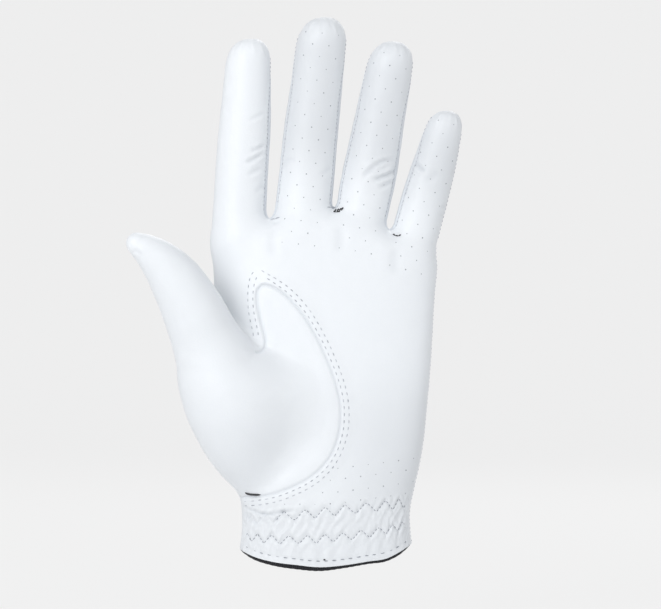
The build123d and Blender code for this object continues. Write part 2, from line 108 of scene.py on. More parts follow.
def oval_distance(x: Array, y: Array, half_x: Array, half_y: Array, power: float) -> Array:
    """Distance from a superellipse: its level less one, over the length of the level's gradient."""
    across, through = np.abs(x) / half_x, np.abs(y) / half_y
    total = across**power + through**power + 1e-9
    level = total ** (1.0 / power)
    slope = total ** (1.0 / power - 1.0)
    steep = slope * np.sqrt((across ** (power - 1) / half_x) ** 2 + (through ** (power - 1) / half_y) ** 2)
    return (level - 1.0) / np.maximum(steep, 1e-3)


@dataclass(frozen=True)
class PalmForm:
    """The palm: upright oval sections, closed at the top by a crown that follows the forks."""

    heights: tuple[float, ...] = (-6, 6, 14, 24, 36, 52, 72, 95, 118, 136, 150, 160)
    left: tuple[float, ...] = (-38, -36.6, -35.2, -34.7, -36.4, -39.5, -43, -45.5, -46.8, -46.7, -45.4, -44.6)
    right: tuple[float, ...] = (38.5, 37.3, 36.0, 35.6, 37.6, 40.6, 43.0, 44.7, 46.0, 47.2, 48.2, 48.4)
    front: tuple[float, ...] = (-20.4, -19.6, -19, -18.5, -18.6, -18.6, -18, -16.8, -15.6, -14.4, -12.6, -12)
    back: tuple[float, ...] = (20.4, 19.6, 18.8, 18.5, 18.3, 17.7, 16.6, 15.2, 14.2, 13.4, 12.2, 11.6)
    crown_x: tuple[float, ...] = (-60, -47, -34, -21.4, -8, 5, 18, 29.8, 40, 50, 60)
    crown_z: tuple[float, ...] = (141, 142, 146.5, 146.8, 149.5, 150.4, 146.5, 140.6, 136.5, 131, 128)
    power: float = 2.45
    crown_radius: float = 9.0

    def distance(self, points: Array) -> Array:
        """Distance from the palm's surface, negative inside."""
        x, y, z = points.T
        left, right = curve_through(z, self.heights, self.left), curve_through(z, self.heights, self.right)
        front, back = curve_through(z, self.heights, self.front), curve_through(z, self.heights, self.back)
        wall = oval_distance(
            x - (left + right) / 2, y - (front + back) / 2, (right - left) / 2, (back - front) / 2, self.power
        )
        crown = z - curve_through(x, self.crown_x, self.crown_z)
        return smooth_common(wall, crown, self.crown_radius)


@dataclass(frozen=True)
class FingerForm:
    """One finger: oval sections along a path that leans outwards and curls towards the palm."""

    name: str
    base: tuple[float, float]
    tip: tuple[float, float]
    widths: tuple[float, float, float, float]
    curl: float
    strips: tuple[Side, ...]
    flat: float = 0.93
    dome: float = 0.62
    skew: float = 0.13
    foot_start: float = -6.0
    foot_reach: float = 14.0
    power: float = 2.25
    slack: float = 0.97
    strip_half: float = 4.0

    @property
    def length(self) -> float:
        """Length from the fork to the fingertip."""
        return math.dist(self.base, self.tip)

    @property
    def along(self) -> Array:
        """Unit vector from the fork to the fingertip."""
        return np.array([self.tip[0] - self.base[0], 0.0, self.tip[1] - self.base[1]]) / self.length

    @property
    def across(self) -> Array:
        """Unit vector across the finger, towards the little finger's side."""
        forward = self.along
        return np.array([forward[2], 0.0, -forward[0]])

    @property
    def strip_end(self) -> float:
        """How far along the finger its side strips end, while they are still a millimetre wide."""
        return self.length * 0.84

    def local(self, points: Array) -> tuple[Array, Array, Array]:
        """Express points as across, through and along the finger, with its curl straightened."""
        offset = points - np.array([self.base[0], 0.0, self.base[1]])
        height = offset @ self.along
        share = np.clip(height / self.length, 0.0, 1.1)
        return offset @ self.across, offset[:, 1] + self.curl * share**2, height

    def half_width(self, height: Array) -> Array:
        """Half the finger's width at a height."""
        knots = np.array([0.0, 0.3, 0.62, 0.88]) * self.length
        return curve_through(height, knots, self.widths) / 2

    def distance(self, points: Array) -> Array:
        """Distance from the finger's surface, negative inside; the tip is an oval dome."""
        across, through, height = self.local(points)
        half = self.half_width(height)
        reach = self.widths[-1] * self.dome
        rise = np.maximum(height - self.skew * across - (self.length - reach), 0.0) / reach
        foot = np.maximum(self.foot_start - height, 0.0) / self.foot_reach
        level = np.sqrt((across / half) ** 2 + (through / (half * self.flat)) ** 2 + 1e-9)
        total = (level**self.power + rise**self.power + foot**self.power) ** (1.0 / self.power)
        return (total - 1.0) * half * self.slack

    def centre(self, height: Array) -> Array:
        """Points on the finger's middle line."""
        height = np.atleast_1d(np.asarray(height, float))
        share = np.clip(height / self.length, 0.0, 1.1)
        line = np.array([self.base[0], 0.0, self.base[1]]) + height[:, None] * self.along
        line[:, 1] -= self.curl * share**2
        return line

    def strip_half_width(self, height: Array) -> Array:
        """Half the width of a side strip, which narrows to nothing near the tip."""
        shrink = smooth_step(height, self.length * 0.55, self.length - 4.0)
        return self.strip_half * (1.0 - shrink) - 0.05


@dataclass(frozen=True)
class ThumbForm:
    """The ball of the thumb, the thumb and its web: round sections whose size changes along smooth paths."""

    path: tuple[tuple[float, float, float, float], ...] = (
        (-27.0, -4.0, 36.0, 8.0), (-30.5, -6.5, 44.0, 11.6), (-34.5, -9.5, 54.0, 15.4),
        (-38.0, -12.5, 66.5, 18.2),
        (-42.8, -15.8, 81.0, 17.3), (-49.2, -19.4, 97.0, 14.0), (-55.2, -24.4, 111.0, 12.6),
        (-61.4, -29.0, 122.0, 10.8), (-66.6, -32.4, 128.8, 8.7), (-71.8, -35.2, 133.6, 6.5),
        (-77.0, -37.2, 137.0, 4.6),
    )
    web: tuple[tuple[float, float, float, float], ...] = (
        (-46.0, -17.2, 92.0, 13.3), (-34.6, -14.4, 86.0, 10.3),
    )
    web_radius: float = 4.0
    spans: int = 30
    softness: float = 2.0
    swell: float = 0.3

    def sections(self) -> Array:
        """Places and radii along the path, on one smooth curve through its knots."""
        knots = np.array(self.path)
        run = run_along(knots[:, :3])
        at = np.linspace(0.0, run[-1], self.spans + 1)
        return np.stack([curve_through(at, run, knots[:, i]) for i in range(4)], axis=1)

    def span(self, points: Array, start: Array, end: Array) -> Array:
        """Distance from one span: from the nearest place on its middle line, less the radius there."""
        step = end[:3] - start[:3]
        share = np.clip((points - start[:3]) @ step / (step @ step), 0.0, 1.0)
        gap = np.linalg.norm(points - start[:3] - share[:, None] * step, axis=1)
        return gap - (start[3] + (end[3] - start[3]) * share)

    def distance(self, points: Array) -> Array:
        """Distance from the thumb's surface, negative inside: a soft least of its spans' distances."""
        sections = self.sections()
        ends = zip(sections, sections[1:])
        spans = np.stack([self.span(points, start, end) for start, end in ends])
        nearest = spans.min(axis=0)
        share = np.exp(-self.softness * (spans - nearest)).sum(axis=0)
        web = self.span(points, np.array(self.web[0]), np.array(self.web[1]))
        body = nearest - np.log(share) / self.softness + self.swell
        return smooth_union(body, web, self.web_radius)


@dataclass(frozen=True)
class HandForm:
    """The whole form that fills the glove: palm, fingers and thumb run into each other."""

    palm: PalmForm = PalmForm()
    thumb: ThumbForm = ThumbForm()
    fingers: tuple[FingerForm, ...] = (
        FingerForm("index", (-36.0, 148.5), (-31.6, 222.8), (22.4, 22.2, 21.0, 18.6), 7.0, (Side.LITTLE,)),
        FingerForm(
            "middle", (-9.6, 150.0), (-0.4, 231.6), (23.4, 23.2, 21.8, 20.6), 8.0, (Side.THUMB, Side.LITTLE)
        ),
        FingerForm(
            "ring", (15.0, 147.0), (28.9, 221.8), (21.6, 22.6, 20.6, 18.6), 8.0, (Side.THUMB, Side.LITTLE)
        ),
        FingerForm("little", (37.0, 139.0), (51.9, 192.9), (19.6, 19.4, 17.4, 14.8), 6.0, (Side.THUMB,)),
    )
    finger_radius: float = 1.6
    knuckle_radius: float = 5.5
    thumb_heights: tuple[float, ...] = (36, 48, 64, 82, 95)
    thumb_radii: tuple[float, ...] = (3.5, 10, 23, 25, 3.5)
    slope_step: float = 0.05

    def hand_distance(self, points: Array) -> Array:
        """Distance from the palm and fingers, without the thumb."""
        fingers = self.fingers[0].distance(points)
        for finger in self.fingers[1:]:
            fingers = smooth_union(fingers, finger.distance(points), self.finger_radius)
        return smooth_union(self.palm.distance(points), fingers, self.knuckle_radius)

    def distance(self, points: Array) -> Array:
        """Distance from the whole form."""
        radius = curve_through(points[:, 2], self.thumb_heights, self.thumb_radii)
        return smooth_union(self.hand_distance(points), self.thumb.distance(points), radius)

    def thumb_lead(self, points: Array) -> Array:
        """How much nearer the thumb's surface is than the hand's: negative on the thumb itself."""
        return self.thumb.distance(points) - self.hand_distance(points)

    def normals(self, points: Array) -> Array:
        """Outward unit normals: the distance's central differences along X, Y and Z."""
        step = self.slope_step
        slopes = [
            self.distance(points + axis * step) - self.distance(points - axis * step) for axis in np.eye(3)
        ]
        gradient = np.stack(slopes, axis=1)
        return gradient / np.maximum(np.linalg.norm(gradient, axis=1, keepdims=True), 1e-9)

    def settle(self, points: Array, rounds: int = 4) -> Array:
        """Move points onto the surface, each round by the distance along the gradient."""
        step = self.slope_step
        for _ in range(rounds):
            value = self.distance(points)
            slopes = [self.distance(points + axis * step) - value for axis in np.eye(3)]
            gradient = np.stack(slopes, axis=1) / step
            size = np.maximum((gradient**2).sum(axis=1), 0.05)
            move = np.clip(value / size, -1.5, 1.5)
            points = points - gradient * move[:, None]
        return points

    def cast(self, starts: Array, way: Array, far: float) -> Array:
        """Find where lines leave the form, by halving between an inside start and an outside end."""
        way = np.broadcast_to(way, starts.shape)
        near, end = np.zeros(len(starts)), np.full(len(starts), far)
        for _ in range(26):
            middle = (near + end) / 2
            inside = self.distance(starts + way * middle[:, None]) < 0
            near, end = np.where(inside, middle, near), np.where(inside, end, middle)
        return starts + way * near[:, None]

    def on_front(self, x: Array, z: Array) -> Array:
        """Points of the palm side at x and z, found by coming back from inside the form."""
        far = self.front_entry(x, z)
        return self.cast(np.stack([x, far + 3.0, z], axis=1), np.array([0.0, -1.0, 0.0]), 6.0)

    def front_entry(self, x: Array, z: Array) -> Array:
        """The depth at which a line from the front first meets the form, to about 0.3 mm."""
        depth = np.full(len(x), -48.0)
        for _ in range(70):
            value = self.distance(np.stack([x, depth, z], axis=1))
            depth = depth + np.clip(value * 0.8, 0.0, 3.0)
        return np.minimum(depth, 0.0)

    def around(self, turn: Array, z: Array) -> Array:
        """Points of the wrist at a turn from the middle of the palm side, towards the little finger."""
        starts = np.stack([np.zeros(len(z)), np.zeros(len(z)), z], axis=1)
        return self.cast(starts, np.stack([np.sin(turn), -np.cos(turn), np.zeros(len(z))], axis=1), 60.0)

    def on_back(self, x: Array, z: Array) -> Array:
        """Points of the back at x and z."""
        return self.cast(np.stack([x, np.zeros(len(x)), z], axis=1), np.array([0.0, 1.0, 0.0]), 30.0)


HAND = HandForm()

# ---------------------------------------------------------------------------------------------------------
# Lines of the glove: seams, rows of stitching and folds
# ---------------------------------------------------------------------------------------------------------


def run_along(line: Array) -> Array:
    """Length along a polyline up to each of its points."""
    return np.concatenate([[0.0], np.cumsum(np.linalg.norm(np.diff(line, axis=0), axis=1))])


def spline(points: list[tuple[float, float]], count: int) -> Array:
    """Draw a smooth plane curve through points: cubic in the length along them, evenly spaced."""
    anchors = np.array(points, float)
    for _ in range(2):
        run = run_along(anchors)
        at = np.linspace(0.0, run[-1], count)
        anchors = np.stack([curve_through(at, run, anchors[:, i]) for i in range(2)], axis=1)
    return anchors


def line_distance(points: Array, line: Array) -> tuple[Array, Array]:
    """Distance from plane points to a plane polyline, and how far along it the nearest place is."""
    starts, steps = line[:-1], np.diff(line, axis=0)
    lengths = np.linalg.norm(steps, axis=1)
    run = np.concatenate([[0.0], np.cumsum(lengths)])
    best, place = np.full(len(points), 1e9), np.zeros(len(points))
    for start, step, length, before in zip(starts, steps, lengths, run):
        share = np.clip((points - start) @ step / (length * length), 0.0, 1.0)
        gap = np.linalg.norm(points - start - share[:, None] * step, axis=1)
        closer = gap < best
        best = np.where(closer, gap, best)
        place = np.where(closer, before + share * length, place)
    return best, place


def inside_polygon(points: Array, corners: Array) -> Array:
    """Tell which plane points lie in a polygon, by counting the sides that a level line crosses."""
    inside = np.zeros(len(points), bool)
    for (x0, y0), (x1, y1) in zip(corners, np.roll(corners, -1, axis=0)):
        spans = (y0 > points[:, 1]) != (y1 > points[:, 1])
        slope = (x1 - x0) / (y1 - y0 if y1 != y0 else 1e-9)
        inside ^= spans & (points[:, 0] < x0 + (points[:, 1] - y0) * slope)
    return inside


@dataclass(frozen=True)
class ThumbSeam:
    """The seam that sets the thumb piece into the palm, seen from the palm side."""

    points: tuple[tuple[float, float], ...] = (
        (-39.5, 30.6), (-32.0, 31.2), (-23.0, 32.4), (-14.7, 35.3), (-6.3, 39.6), (0.0, 45.2), (4.2, 52.0),
        (6.5, 60.5), (6.8, 69.5), (5.0, 78.5), (1.3, 88.6), (-3.6, 99.0), (-9.4, 108.4), (-16.2, 115.8),
        (-21.8, 119.6), (-25.6, 120.4), (-28.2, 118.4), (-28.8, 114.0), (-27.8, 107.5), (-26.1, 101.0),
        (-25.2, 96.6), (-25.9, 93.6), (-28.0, 92.6),
    )
    rows: tuple[float, float] = (1.15, 3.1)
    left_rows: tuple[tuple[tuple[float, float], ...], ...] = (
        ((-27.3, 125.2), (-28.9, 122.2), (-29.8, 117.6), (-29.9, 112.8), (-29.2, 107.0), (-27.9, 101.2),
         (-27.3, 96.2)),
        ((-28.2, 127.0), (-30.4, 125.0), (-31.8, 119.8), (-32.0, 113.4), (-31.4, 107.0), (-30.0, 101.0),
         (-29.4, 95.6)),
    )
    right_starts: tuple[tuple[float, float], ...] = ((-27.0, 124.8), (-28.0, 127.0))
    wrist_end: tuple[float, float] = (-36.0, 60.0)

    def line(self) -> Array:
        """The seam as an evenly spaced line, from the wrist round to the crotch of the thumb."""
        return spline(list(self.points), 130)

    def outline(self) -> Array:
        """The polygon inside the seam, closed well outside the thumb."""
        line = self.line()
        return np.concatenate([line, [(-120.0, line[-1, 1]), (-120.0, line[0, 1])]])

    def field(self, points: Array) -> Array:
        """Distance from the seam in the front view, negative on the thumb's side."""
        plane = points[:, [0, 2]]
        gap, _ = line_distance(plane, self.line())
        return np.where(inside_polygon(plane, self.outline()), -gap, gap)

    def stitch_lines(self) -> list[Array]:
        """The double row on the palm: two lines beside the seam, and two down the tongue's other side."""
        line = self.line()
        steps = np.gradient(line, axis=0)
        steps /= np.linalg.norm(steps, axis=1, keepdims=True)
        outward = np.stack([steps[:, 1], -steps[:, 0]], axis=1)
        climb = line[: int(np.argmax(line[:, 1])) - 3]
        left, low = self.wrist_end
        found = []
        for distance, start in zip(self.rows, self.right_starts):
            side = climb + outward[: len(climb)] * distance
            side = side[(side[:, 0] > left) | (side[:, 1] > low)]
            found.append(spline([*map(tuple, side[::6]), tuple(side[-1]), start], 160))
        found += [spline(list(row), 50) for row in self.left_rows]
        return found


@dataclass(frozen=True)
class Zigzag:
    """A zigzag row of stitching over an elastic, round the palm side of the wrist."""

    height: float
    slope: float
    bow: float
    pitch: float
    reach: float

    def level(self, x: Array, run: Array) -> Array:
        """Height of the row: a tilted, bowed line plus a triangle wave of the length round the wrist."""
        uneven = run / self.pitch + 0.07 * np.sin(run * 0.16)
        wave = np.abs((uneven % 1.0) * 2.0 - 1.0) * 2.0 - 1.0
        return self.height + self.slope * x + self.bow * x * x + self.reach * wave


@dataclass(frozen=True)
class Wrist:
    """The gathered wrist: hem line, zigzag rows, hem row and the back opening."""

    girth: float = 38.0
    hem_x: tuple[float, ...] = (-44, -38, -31, -22, -12, -2, 8, 18, 26, 31, 38, 44)
    hem_z: tuple[float, ...] = (13.6, 10.7, 7.4, 5.1, 3.9, 3.0, 3.8, 5.3, 6.5, 8.8, 12.8, 16)
    tape: tuple[float, ...] = (0.9, 1.0, 1.3, 1.5, 1.7, 1.5, 1.1, 1.0, 1.2, 1.5, 1.2, 1.0)
    upper: Zigzag = Zigzag(25.8, 0.11, -0.0004, 9.0, 2.3)
    lower: Zigzag = Zigzag(14.9, 0.0735, 0.0022, 7.85, 2.0)
    hem_row: float = 2.5
    slit_x: float = -3.0
    slit_half: float = 1.5
    slit_top: float = 54.5

    def hem(self, x: Array) -> Array:
        """Height of the leather's edge: a shallow bowl seen from the front."""
        return curve_through(x, self.hem_x, self.hem_z)

    def tape_low(self, x: Array) -> Array:
        """Height of the black tape's lower edge: under the leather's edge, with a ripple at each stitch."""
        scallop = 0.13 * np.abs(np.sin(x * math.pi / 2.6))
        return self.hem(x) - curve_through(x, self.hem_x, self.tape) - scallop

    def run(self, x: Array) -> Array:
        """Length round the wrist from the middle of the palm side: a circle's arc over a place across."""
        return self.girth * np.arcsin(np.clip(x / self.girth, -0.995, 0.995))

    def slit(self, points: Array) -> Array:
        """Distance from the back opening, negative in it."""
        gap = np.hypot(points[:, 0] - self.slit_x, np.maximum(points[:, 2] - self.slit_top, 0.0))
        return np.where(points[:, 1] > 5.0, gap - self.slit_half, 50.0)

    def row(self, zigzag: Zigzag, start: float, end: float) -> Array:
        """A zigzag row in the front view, as a fine line from one distance across to another."""
        x = np.linspace(start, end, 1200)
        return np.stack([x, zigzag.level(x, self.run(x))], axis=1)


@dataclass(frozen=True)
class Fold:
    """A crease in the palm side, drawn in the front view, with a raised lip on each side."""

    points: tuple[tuple[float, float], ...]
    width: float
    depth: float

    def relief(self, plane: Array) -> Array:
        """Depth of the crease and height of its lips, fading towards both ends."""
        low, high = np.min(self.points, axis=0) - 8.0, np.max(self.points, axis=0) + 8.0
        near = ((plane > low) & (plane < high)).all(axis=1)
        found = np.zeros(len(plane))
        line = spline(list(self.points), 24)
        gap, place = line_distance(plane[near], line)
        length = np.linalg.norm(np.diff(line, axis=0), axis=1).sum()
        fade = smooth_step(place, 0.0, length * 0.35) * smooth_step(length - place, 0.0, length * 0.35)
        groove = np.exp(-((gap / self.width) ** 2))
        lips = np.exp(-(((gap - 2.0 * self.width) / self.width) ** 2))
        found[near] = fade * self.depth * (0.45 * lips - groove)
        return found


SEAM = ThumbSeam()
WRIST = Wrist()

FOLDS = (
    Fold(((-34.0, 170.6), (-29.5, 172.6), (-25.0, 175.6)), 0.8, 0.62),
    Fold(((-32.0, 175.6), (-28.5, 176.6), (-24.6, 179.0)), 0.8, 0.42),
    Fold(((-33.0, 188.0), (-28.5, 190.2), (-24.6, 192.4)), 0.9, 0.26),
    Fold(((-33.5, 165.4), (-29.0, 167.6), (-25.4, 169.4)), 1.0, 0.34),
    Fold(((-30.0, 158.6), (-27.0, 160.2), (-24.6, 162.4)), 1.0, 0.22),
    Fold(((14.8, 163.4), (19.0, 168.2), (25.0, 171.6), (30.4, 172.2)), 0.9, 0.72),
    Fold(((18.6, 163.2), (23.0, 164.6), (27.6, 166.6), (30.6, 169.6)), 0.8, 0.85),
    Fold(((17.5, 167.0), (22.5, 168.2), (28.5, 170.6)), 0.7, 0.42),
    Fold(((21.5, 160.4), (25.5, 161.6), (28.6, 164.2)), 0.8, 0.34),
    Fold(((37.0, 172.2), (39.4, 169.2), (42.4, 166.8)), 0.8, 0.60),
    Fold(((41.0, 163.0), (44.5, 165.0), (47.5, 168.6)), 1.6, 0.28),
    Fold(((48.0, 152.5), (50.5, 152.8), (53.0, 153.6)), 0.7, 0.24),
    Fold(((47.5, 149.0), (50.0, 149.2), (52.5, 150.0)), 0.7, 0.20),
    Fold(((-18.6, 171.0), (-15.0, 172.4), (-12.0, 172.0)), 1.0, 0.22),
    Fold(((-3.0, 166.0), (0.4, 167.4), (3.0, 170.0)), 1.1, 0.24),
    Fold(((-36.5, 29.4), (-33.0, 27.4), (-29.5, 25.8), (-25.5, 24.6), (-22.0, 24.8), (-18.0, 25.7),
          (-9.0, 26.6)), 0.6, 0.62),
    Fold(((-35.0, 25.0), (-31.0, 22.4), (-27.5, 18.2)), 0.9, 0.26),
    Fold(((-28.0, 23.0), (-24.0, 21.0), (-21.0, 17.4)), 0.9, 0.20),
    Fold(((-22.6, 146.0), (-20.6, 145.9), (-18.4, 146.5)), 0.6, 0.22),
    Fold(((-79.0, 134.4), (-76.5, 133.6), (-74.0, 131.6)), 0.8, 0.26),
    Fold(((5.0, 147.0), (6.0, 140.0), (5.0, 132.0)), 2.4, 0.26),
    Fold(((-21.4, 145.0), (-22.4, 138.0), (-22.0, 130.0)), 2.4, 0.22),
    Fold(((29.8, 137.5), (28.4, 130.0), (28.6, 123.0)), 2.4, 0.28),
)


@dataclass(frozen=True)
class Relief:
    """The skin's small shape: seam grooves, puckers beside stitches, creases and gathers."""

    seam_width: float = 0.55
    seam_depth: float = 0.50
    roll: float = 0.40
    puff: float = 0.22
    strip_width: float = 0.42
    strip_depth: float = 0.34
    row_width: float = 0.7
    row_depth: float = 0.34
    row_puff: float = 0.22
    hem_depth: float = 0.20
    wide_pleat: tuple[float, float] = (4.0, 0.15)
    fine_pleat: tuple[float, float] = (2.5, 0.09)
    hem_pleat: tuple[float, float] = (7.3, 0.22)

    def strips(self, points: Array) -> Array:
        """Distance from the seams of the fingers' side strips."""
        nearest = np.full(len(points), 99.0)
        for finger in HAND.fingers:
            across, through, height = finger.local(points)
            close = (np.abs(across) < 16.0) & (height > -2.0) & (height < finger.length)
            edge = np.abs(np.abs(through) - finger.strip_half_width(height))
            for side in Side:
                if side in finger.strips:
                    on_side = close & (across * side.value > 2.0)
                    nearest = np.where(on_side, np.minimum(nearest, edge), nearest)
        little = HAND.fingers[3]
        across, through, height = little.local(points)
        outer = (across > 2.0) & (height > 0.0) & (height < little.length - 3.0)
        nearest = np.where(outer, np.minimum(nearest, np.abs(through)), nearest)
        side_seam = (points[:, 0] > 25.0) & (points[:, 2] < 141.0)
        return np.where(side_seam, np.minimum(nearest, np.abs(points[:, 1])), nearest)

    def gathers(self, points: Array) -> Array:
        """Puffs of the wrist: grooves along the zigzag rows, and pleats round the wrist between them."""
        run = WRIST.run(points[:, 0])
        front = smooth_step(-points[:, 1], 2.0, 7.0)
        relief = np.zeros(len(points))
        for zigzag in (WRIST.upper, WRIST.lower):
            gap = np.abs(points[:, 2] - zigzag.level(points[:, 0], run)) * 0.74
            relief -= self.row_depth * np.exp(-((gap / self.row_width) ** 2))
            relief += self.row_puff * np.exp(-(((gap - 1.9) / 1.2) ** 2))
        middle = 19.5 + 0.07 * points[:, 0]
        band = np.exp(-(((points[:, 2] - middle) / 9.5) ** 4))
        wander = 0.9 * np.sin(points[:, 2] * 0.35 + run * 0.21)
        wander += 0.6 * np.sin(points[:, 2] * 0.8 - run * 0.13)
        slant = run - 0.55 * points[:, 2]
        for (pitch, size), share in ((self.wide_pleat, 1.0), (self.fine_pleat, 2.2)):
            relief += band * size * np.sin(slant * 2 * math.pi / pitch + share * wander)
        hem = np.abs(points[:, 2] - WRIST.hem(points[:, 0]) - WRIST.hem_row)
        pucker = 1.0 + 0.5 * np.sin(run * 2 * math.pi / 3.4)
        relief -= self.hem_depth * np.exp(-((hem / 0.6) ** 2)) * pucker
        low = np.exp(-(((points[:, 2] - WRIST.hem(points[:, 0]) - 6.0) / 4.0) ** 2))
        pitch, size = self.hem_pleat
        relief += low * size * np.sin(run * 2 * math.pi / pitch + 0.8 * np.sin(run * 0.31))
        window = smooth_step(points[:, 2], -2.0, 2.0) * (1.0 - smooth_step(points[:, 2], 30.0, 36.0))
        return relief * front * window

    def tip_puckers(self, points: Array) -> Array:
        """Small folds that fan out over each fingertip, where the seams are drawn in."""
        found = np.zeros(len(points))
        for finger in HAND.fingers:
            across, through, height = finger.local(points)
            near = smooth_step(height, finger.length - 9.0, finger.length - 3.0) * (np.abs(across) < 15.0)
            turn = np.arctan2(through, across)
            wide = 0.13 * np.sin(turn * 13.0 + finger.length)
            found += near * (wide + 0.09 * np.sin(turn * 22.0 + height * 0.6))
        return found

    def painted_shade_tone(self, points: Array) -> Array:
        """How much painted shade shows: on the palm side of three fingers, low on the palm towards the little
        finger's side, and on the wrist's gathers.
        """
        found = np.zeros(len(points))
        for finger in HAND.fingers[1:]:
            across, through, height = finger.local(points)
            half = finger.half_width(height)
            near = (np.abs(across) < half + 1.5) * smooth_step(-through, -1.0, 2.0)
            # Painted shade fades towards each finger's little-finger side and towards its tip.
            near *= 1.0 - 0.6 * smooth_step(across / half, 0.35, 0.9)
            tip = 1.0 - 0.4 * smooth_step(height, finger.length - 16.0, finger.length - 4.0)
            found = np.maximum(found, near * tip * smooth_step(height, 3.0, 36.0))
        x, y, z = points.T
        # Painted shade low on the palm towards the little finger's side, and on the wrist's gathers, on the
        # palm side only.
        above = smooth_step(z, 24.0, 34.0)
        low = 0.6 * above * (1.0 - smooth_step(z, 52.0, 92.0)) * smooth_step(x, -6.0, 26.0)
        return np.maximum(found, (low + 0.5 * (1.0 - above)) * smooth_step(-y, 0.0, 6.0))

    def height(self, points: Array, normals: Array) -> tuple[Array, Array]:
        """Work out how far the skin stands off the form, and how deep in a groove each point is.

        Args:
            points: places on the form, in millimetres.
            normals: outward unit normals there.

        Returns:
            The offset along the normal, and a painted shade from 0 on open leather to 1 in a seam groove or
            crease.
        """
        front = smooth_step(-normals[:, 1], 0.05, 0.45)
        seam = SEAM.field(points)
        x, y, z = points.T
        near_front = smooth_step(-y, 1.0, 6.0)
        off_thumb = smooth_step(HAND.thumb_lead(points), -0.5, 1.5)
        lap = np.exp(-(((seam + 0.35) / self.seam_width) ** 2)) * near_front
        roll = smooth_step(seam, -0.3, 0.5) * (1.0 - smooth_step(seam, 2.0, 7.0)) * near_front * off_thumb
        puff = np.exp(-(((seam + 3.4) / 2.6) ** 2)) * near_front * front
        offset = -self.seam_depth * lap + self.roll * roll * front + self.puff * puff
        strips = self.strips(points)
        line = np.exp(-((strips / self.strip_width) ** 2))
        ripple = 0.02 * np.sin(z * 2 * math.pi / 2.3) * np.exp(-(((strips - 1.1) / 0.8) ** 2))
        offset += self.tip_puckers(points)
        offset -= self.strip_depth * line
        offset += 0.12 * np.exp(-(((strips - 1.2) / 0.7) ** 2)) + ripple
        offset += self.gathers(points)
        creases = np.zeros(len(points))
        for fold in FOLDS:
            creases += fold.relief(points[:, [0, 2]])
        offset += creases * front
        soft = np.sin(x * 0.11 + 0.7) * np.sin(z * 0.09 + y * 0.05) + np.sin(x * 0.05 - z * 0.16 + 1.1)
        fine = np.sin(x * 0.43 + 2.0 * np.sin(z * 0.21)) * np.sin(z * 0.37 + 1.7 * np.sin(x * 0.19))
        offset += 0.12 * soft + 0.05 * fine
        # Painted shade: darker colour in the seam grooves, along the strips' seams and in the creases.
        shade = np.clip(0.5 * lap + 0.75 * line + np.clip(-creases * front * 1.1, 0.0, 0.5), 0.0, 1.0)
        return offset, shade


RELIEF = Relief()


def skin_points(points: Array, lift: float = 0.0) -> tuple[Array, Array]:
    """Carry places on the form out to the leather's face.

    Args:
        points: places on the form.
        lift: how far above the leather's face the result lies.

    Returns:
        The lifted points and the form's normals there.
    """
    normals = HAND.normals(points)
    offset, _ = RELIEF.height(points, normals)
    return points + normals * (offset + lift)[:, None], normals


# ---------------------------------------------------------------------------------------------------------
# Meshes
# ---------------------------------------------------------------------------------------------------------


@dataclass
class Skin:
    """A triangle mesh whose points carry numbers: a place on the form, and what is worked out from it.

    The columns are the place on the form, the place of the leather's face, its normal, the form's normal,
    the painted shade of the seams and creases, and the painted shade of three fingers, the low palm and
    the wrist.
    """

    data: Array
    triangles: Array

    @property
    def form(self) -> Array:
        """Places on the form of the hand."""
        return self.data[:, :3]

    def compact(self) -> Skin:
        """Drop points that no triangle uses."""
        used, packed = np.unique(self.triangles, return_inverse=True)
        return Skin(self.data[used], packed.reshape(-1, 3))

    def score(self, values: Array) -> tuple[Skin, Array]:
        """Split the triangles where a value at the points passes through nought.

        Args:
            values: one number for each point.

        Returns:
            The mesh with a line of points along the nought level, and which triangles lie above it.
        """
        values = np.where(np.abs(values) < 0.015, 0.015, values)
        high = values[self.triangles] > 0
        count = high.sum(axis=1)
        mixed = (count == 1) | (count == 2)
        cut, cut_high, lone_high = self.triangles[mixed], high[mixed], count[mixed] == 1
        if not len(cut):
            return self, count == 3
        first = np.argmax(np.where(lone_high[:, None], cut_high, ~cut_high), axis=1)
        cut = np.take_along_axis(cut, (first[:, None] + np.arange(3)) % 3, axis=1)
        edges = np.concatenate([cut[:, [0, 1]], cut[:, [0, 2]]])
        keys, place = np.unique(np.sort(edges, axis=1), axis=0, return_inverse=True)
        near, far = values[keys[:, 0]], values[keys[:, 1]]
        share = (near / (near - far))[:, None]
        fresh = self.data[keys[:, 0]] * (1 - share) + self.data[keys[:, 1]] * share
        place = place.reshape(-1) + len(self.data)
        one, two = place[: len(cut)], place[len(cut):]
        lone = np.stack([cut[:, 0], one, two], axis=1)
        near_pair = np.stack([one, cut[:, 1], cut[:, 2]], axis=1)
        far_pair = np.stack([one, cut[:, 2], two], axis=1)
        triangles = np.concatenate([self.triangles[~mixed], lone, near_pair, far_pair])
        above = np.concatenate([count[~mixed] == 3, lone_high, ~lone_high, ~lone_high])
        return Skin(np.concatenate([self.data, fresh]), triangles), above

    def divide(self, values: Array) -> tuple[Skin, Skin]:
        """Cut the mesh along a value's nought level into the part below it and the part above it."""
        scored, above = self.score(values)
        low = Skin(scored.data, scored.triangles[~above])
        high = Skin(scored.data, scored.triangles[above])
        return low.compact(), high.compact()


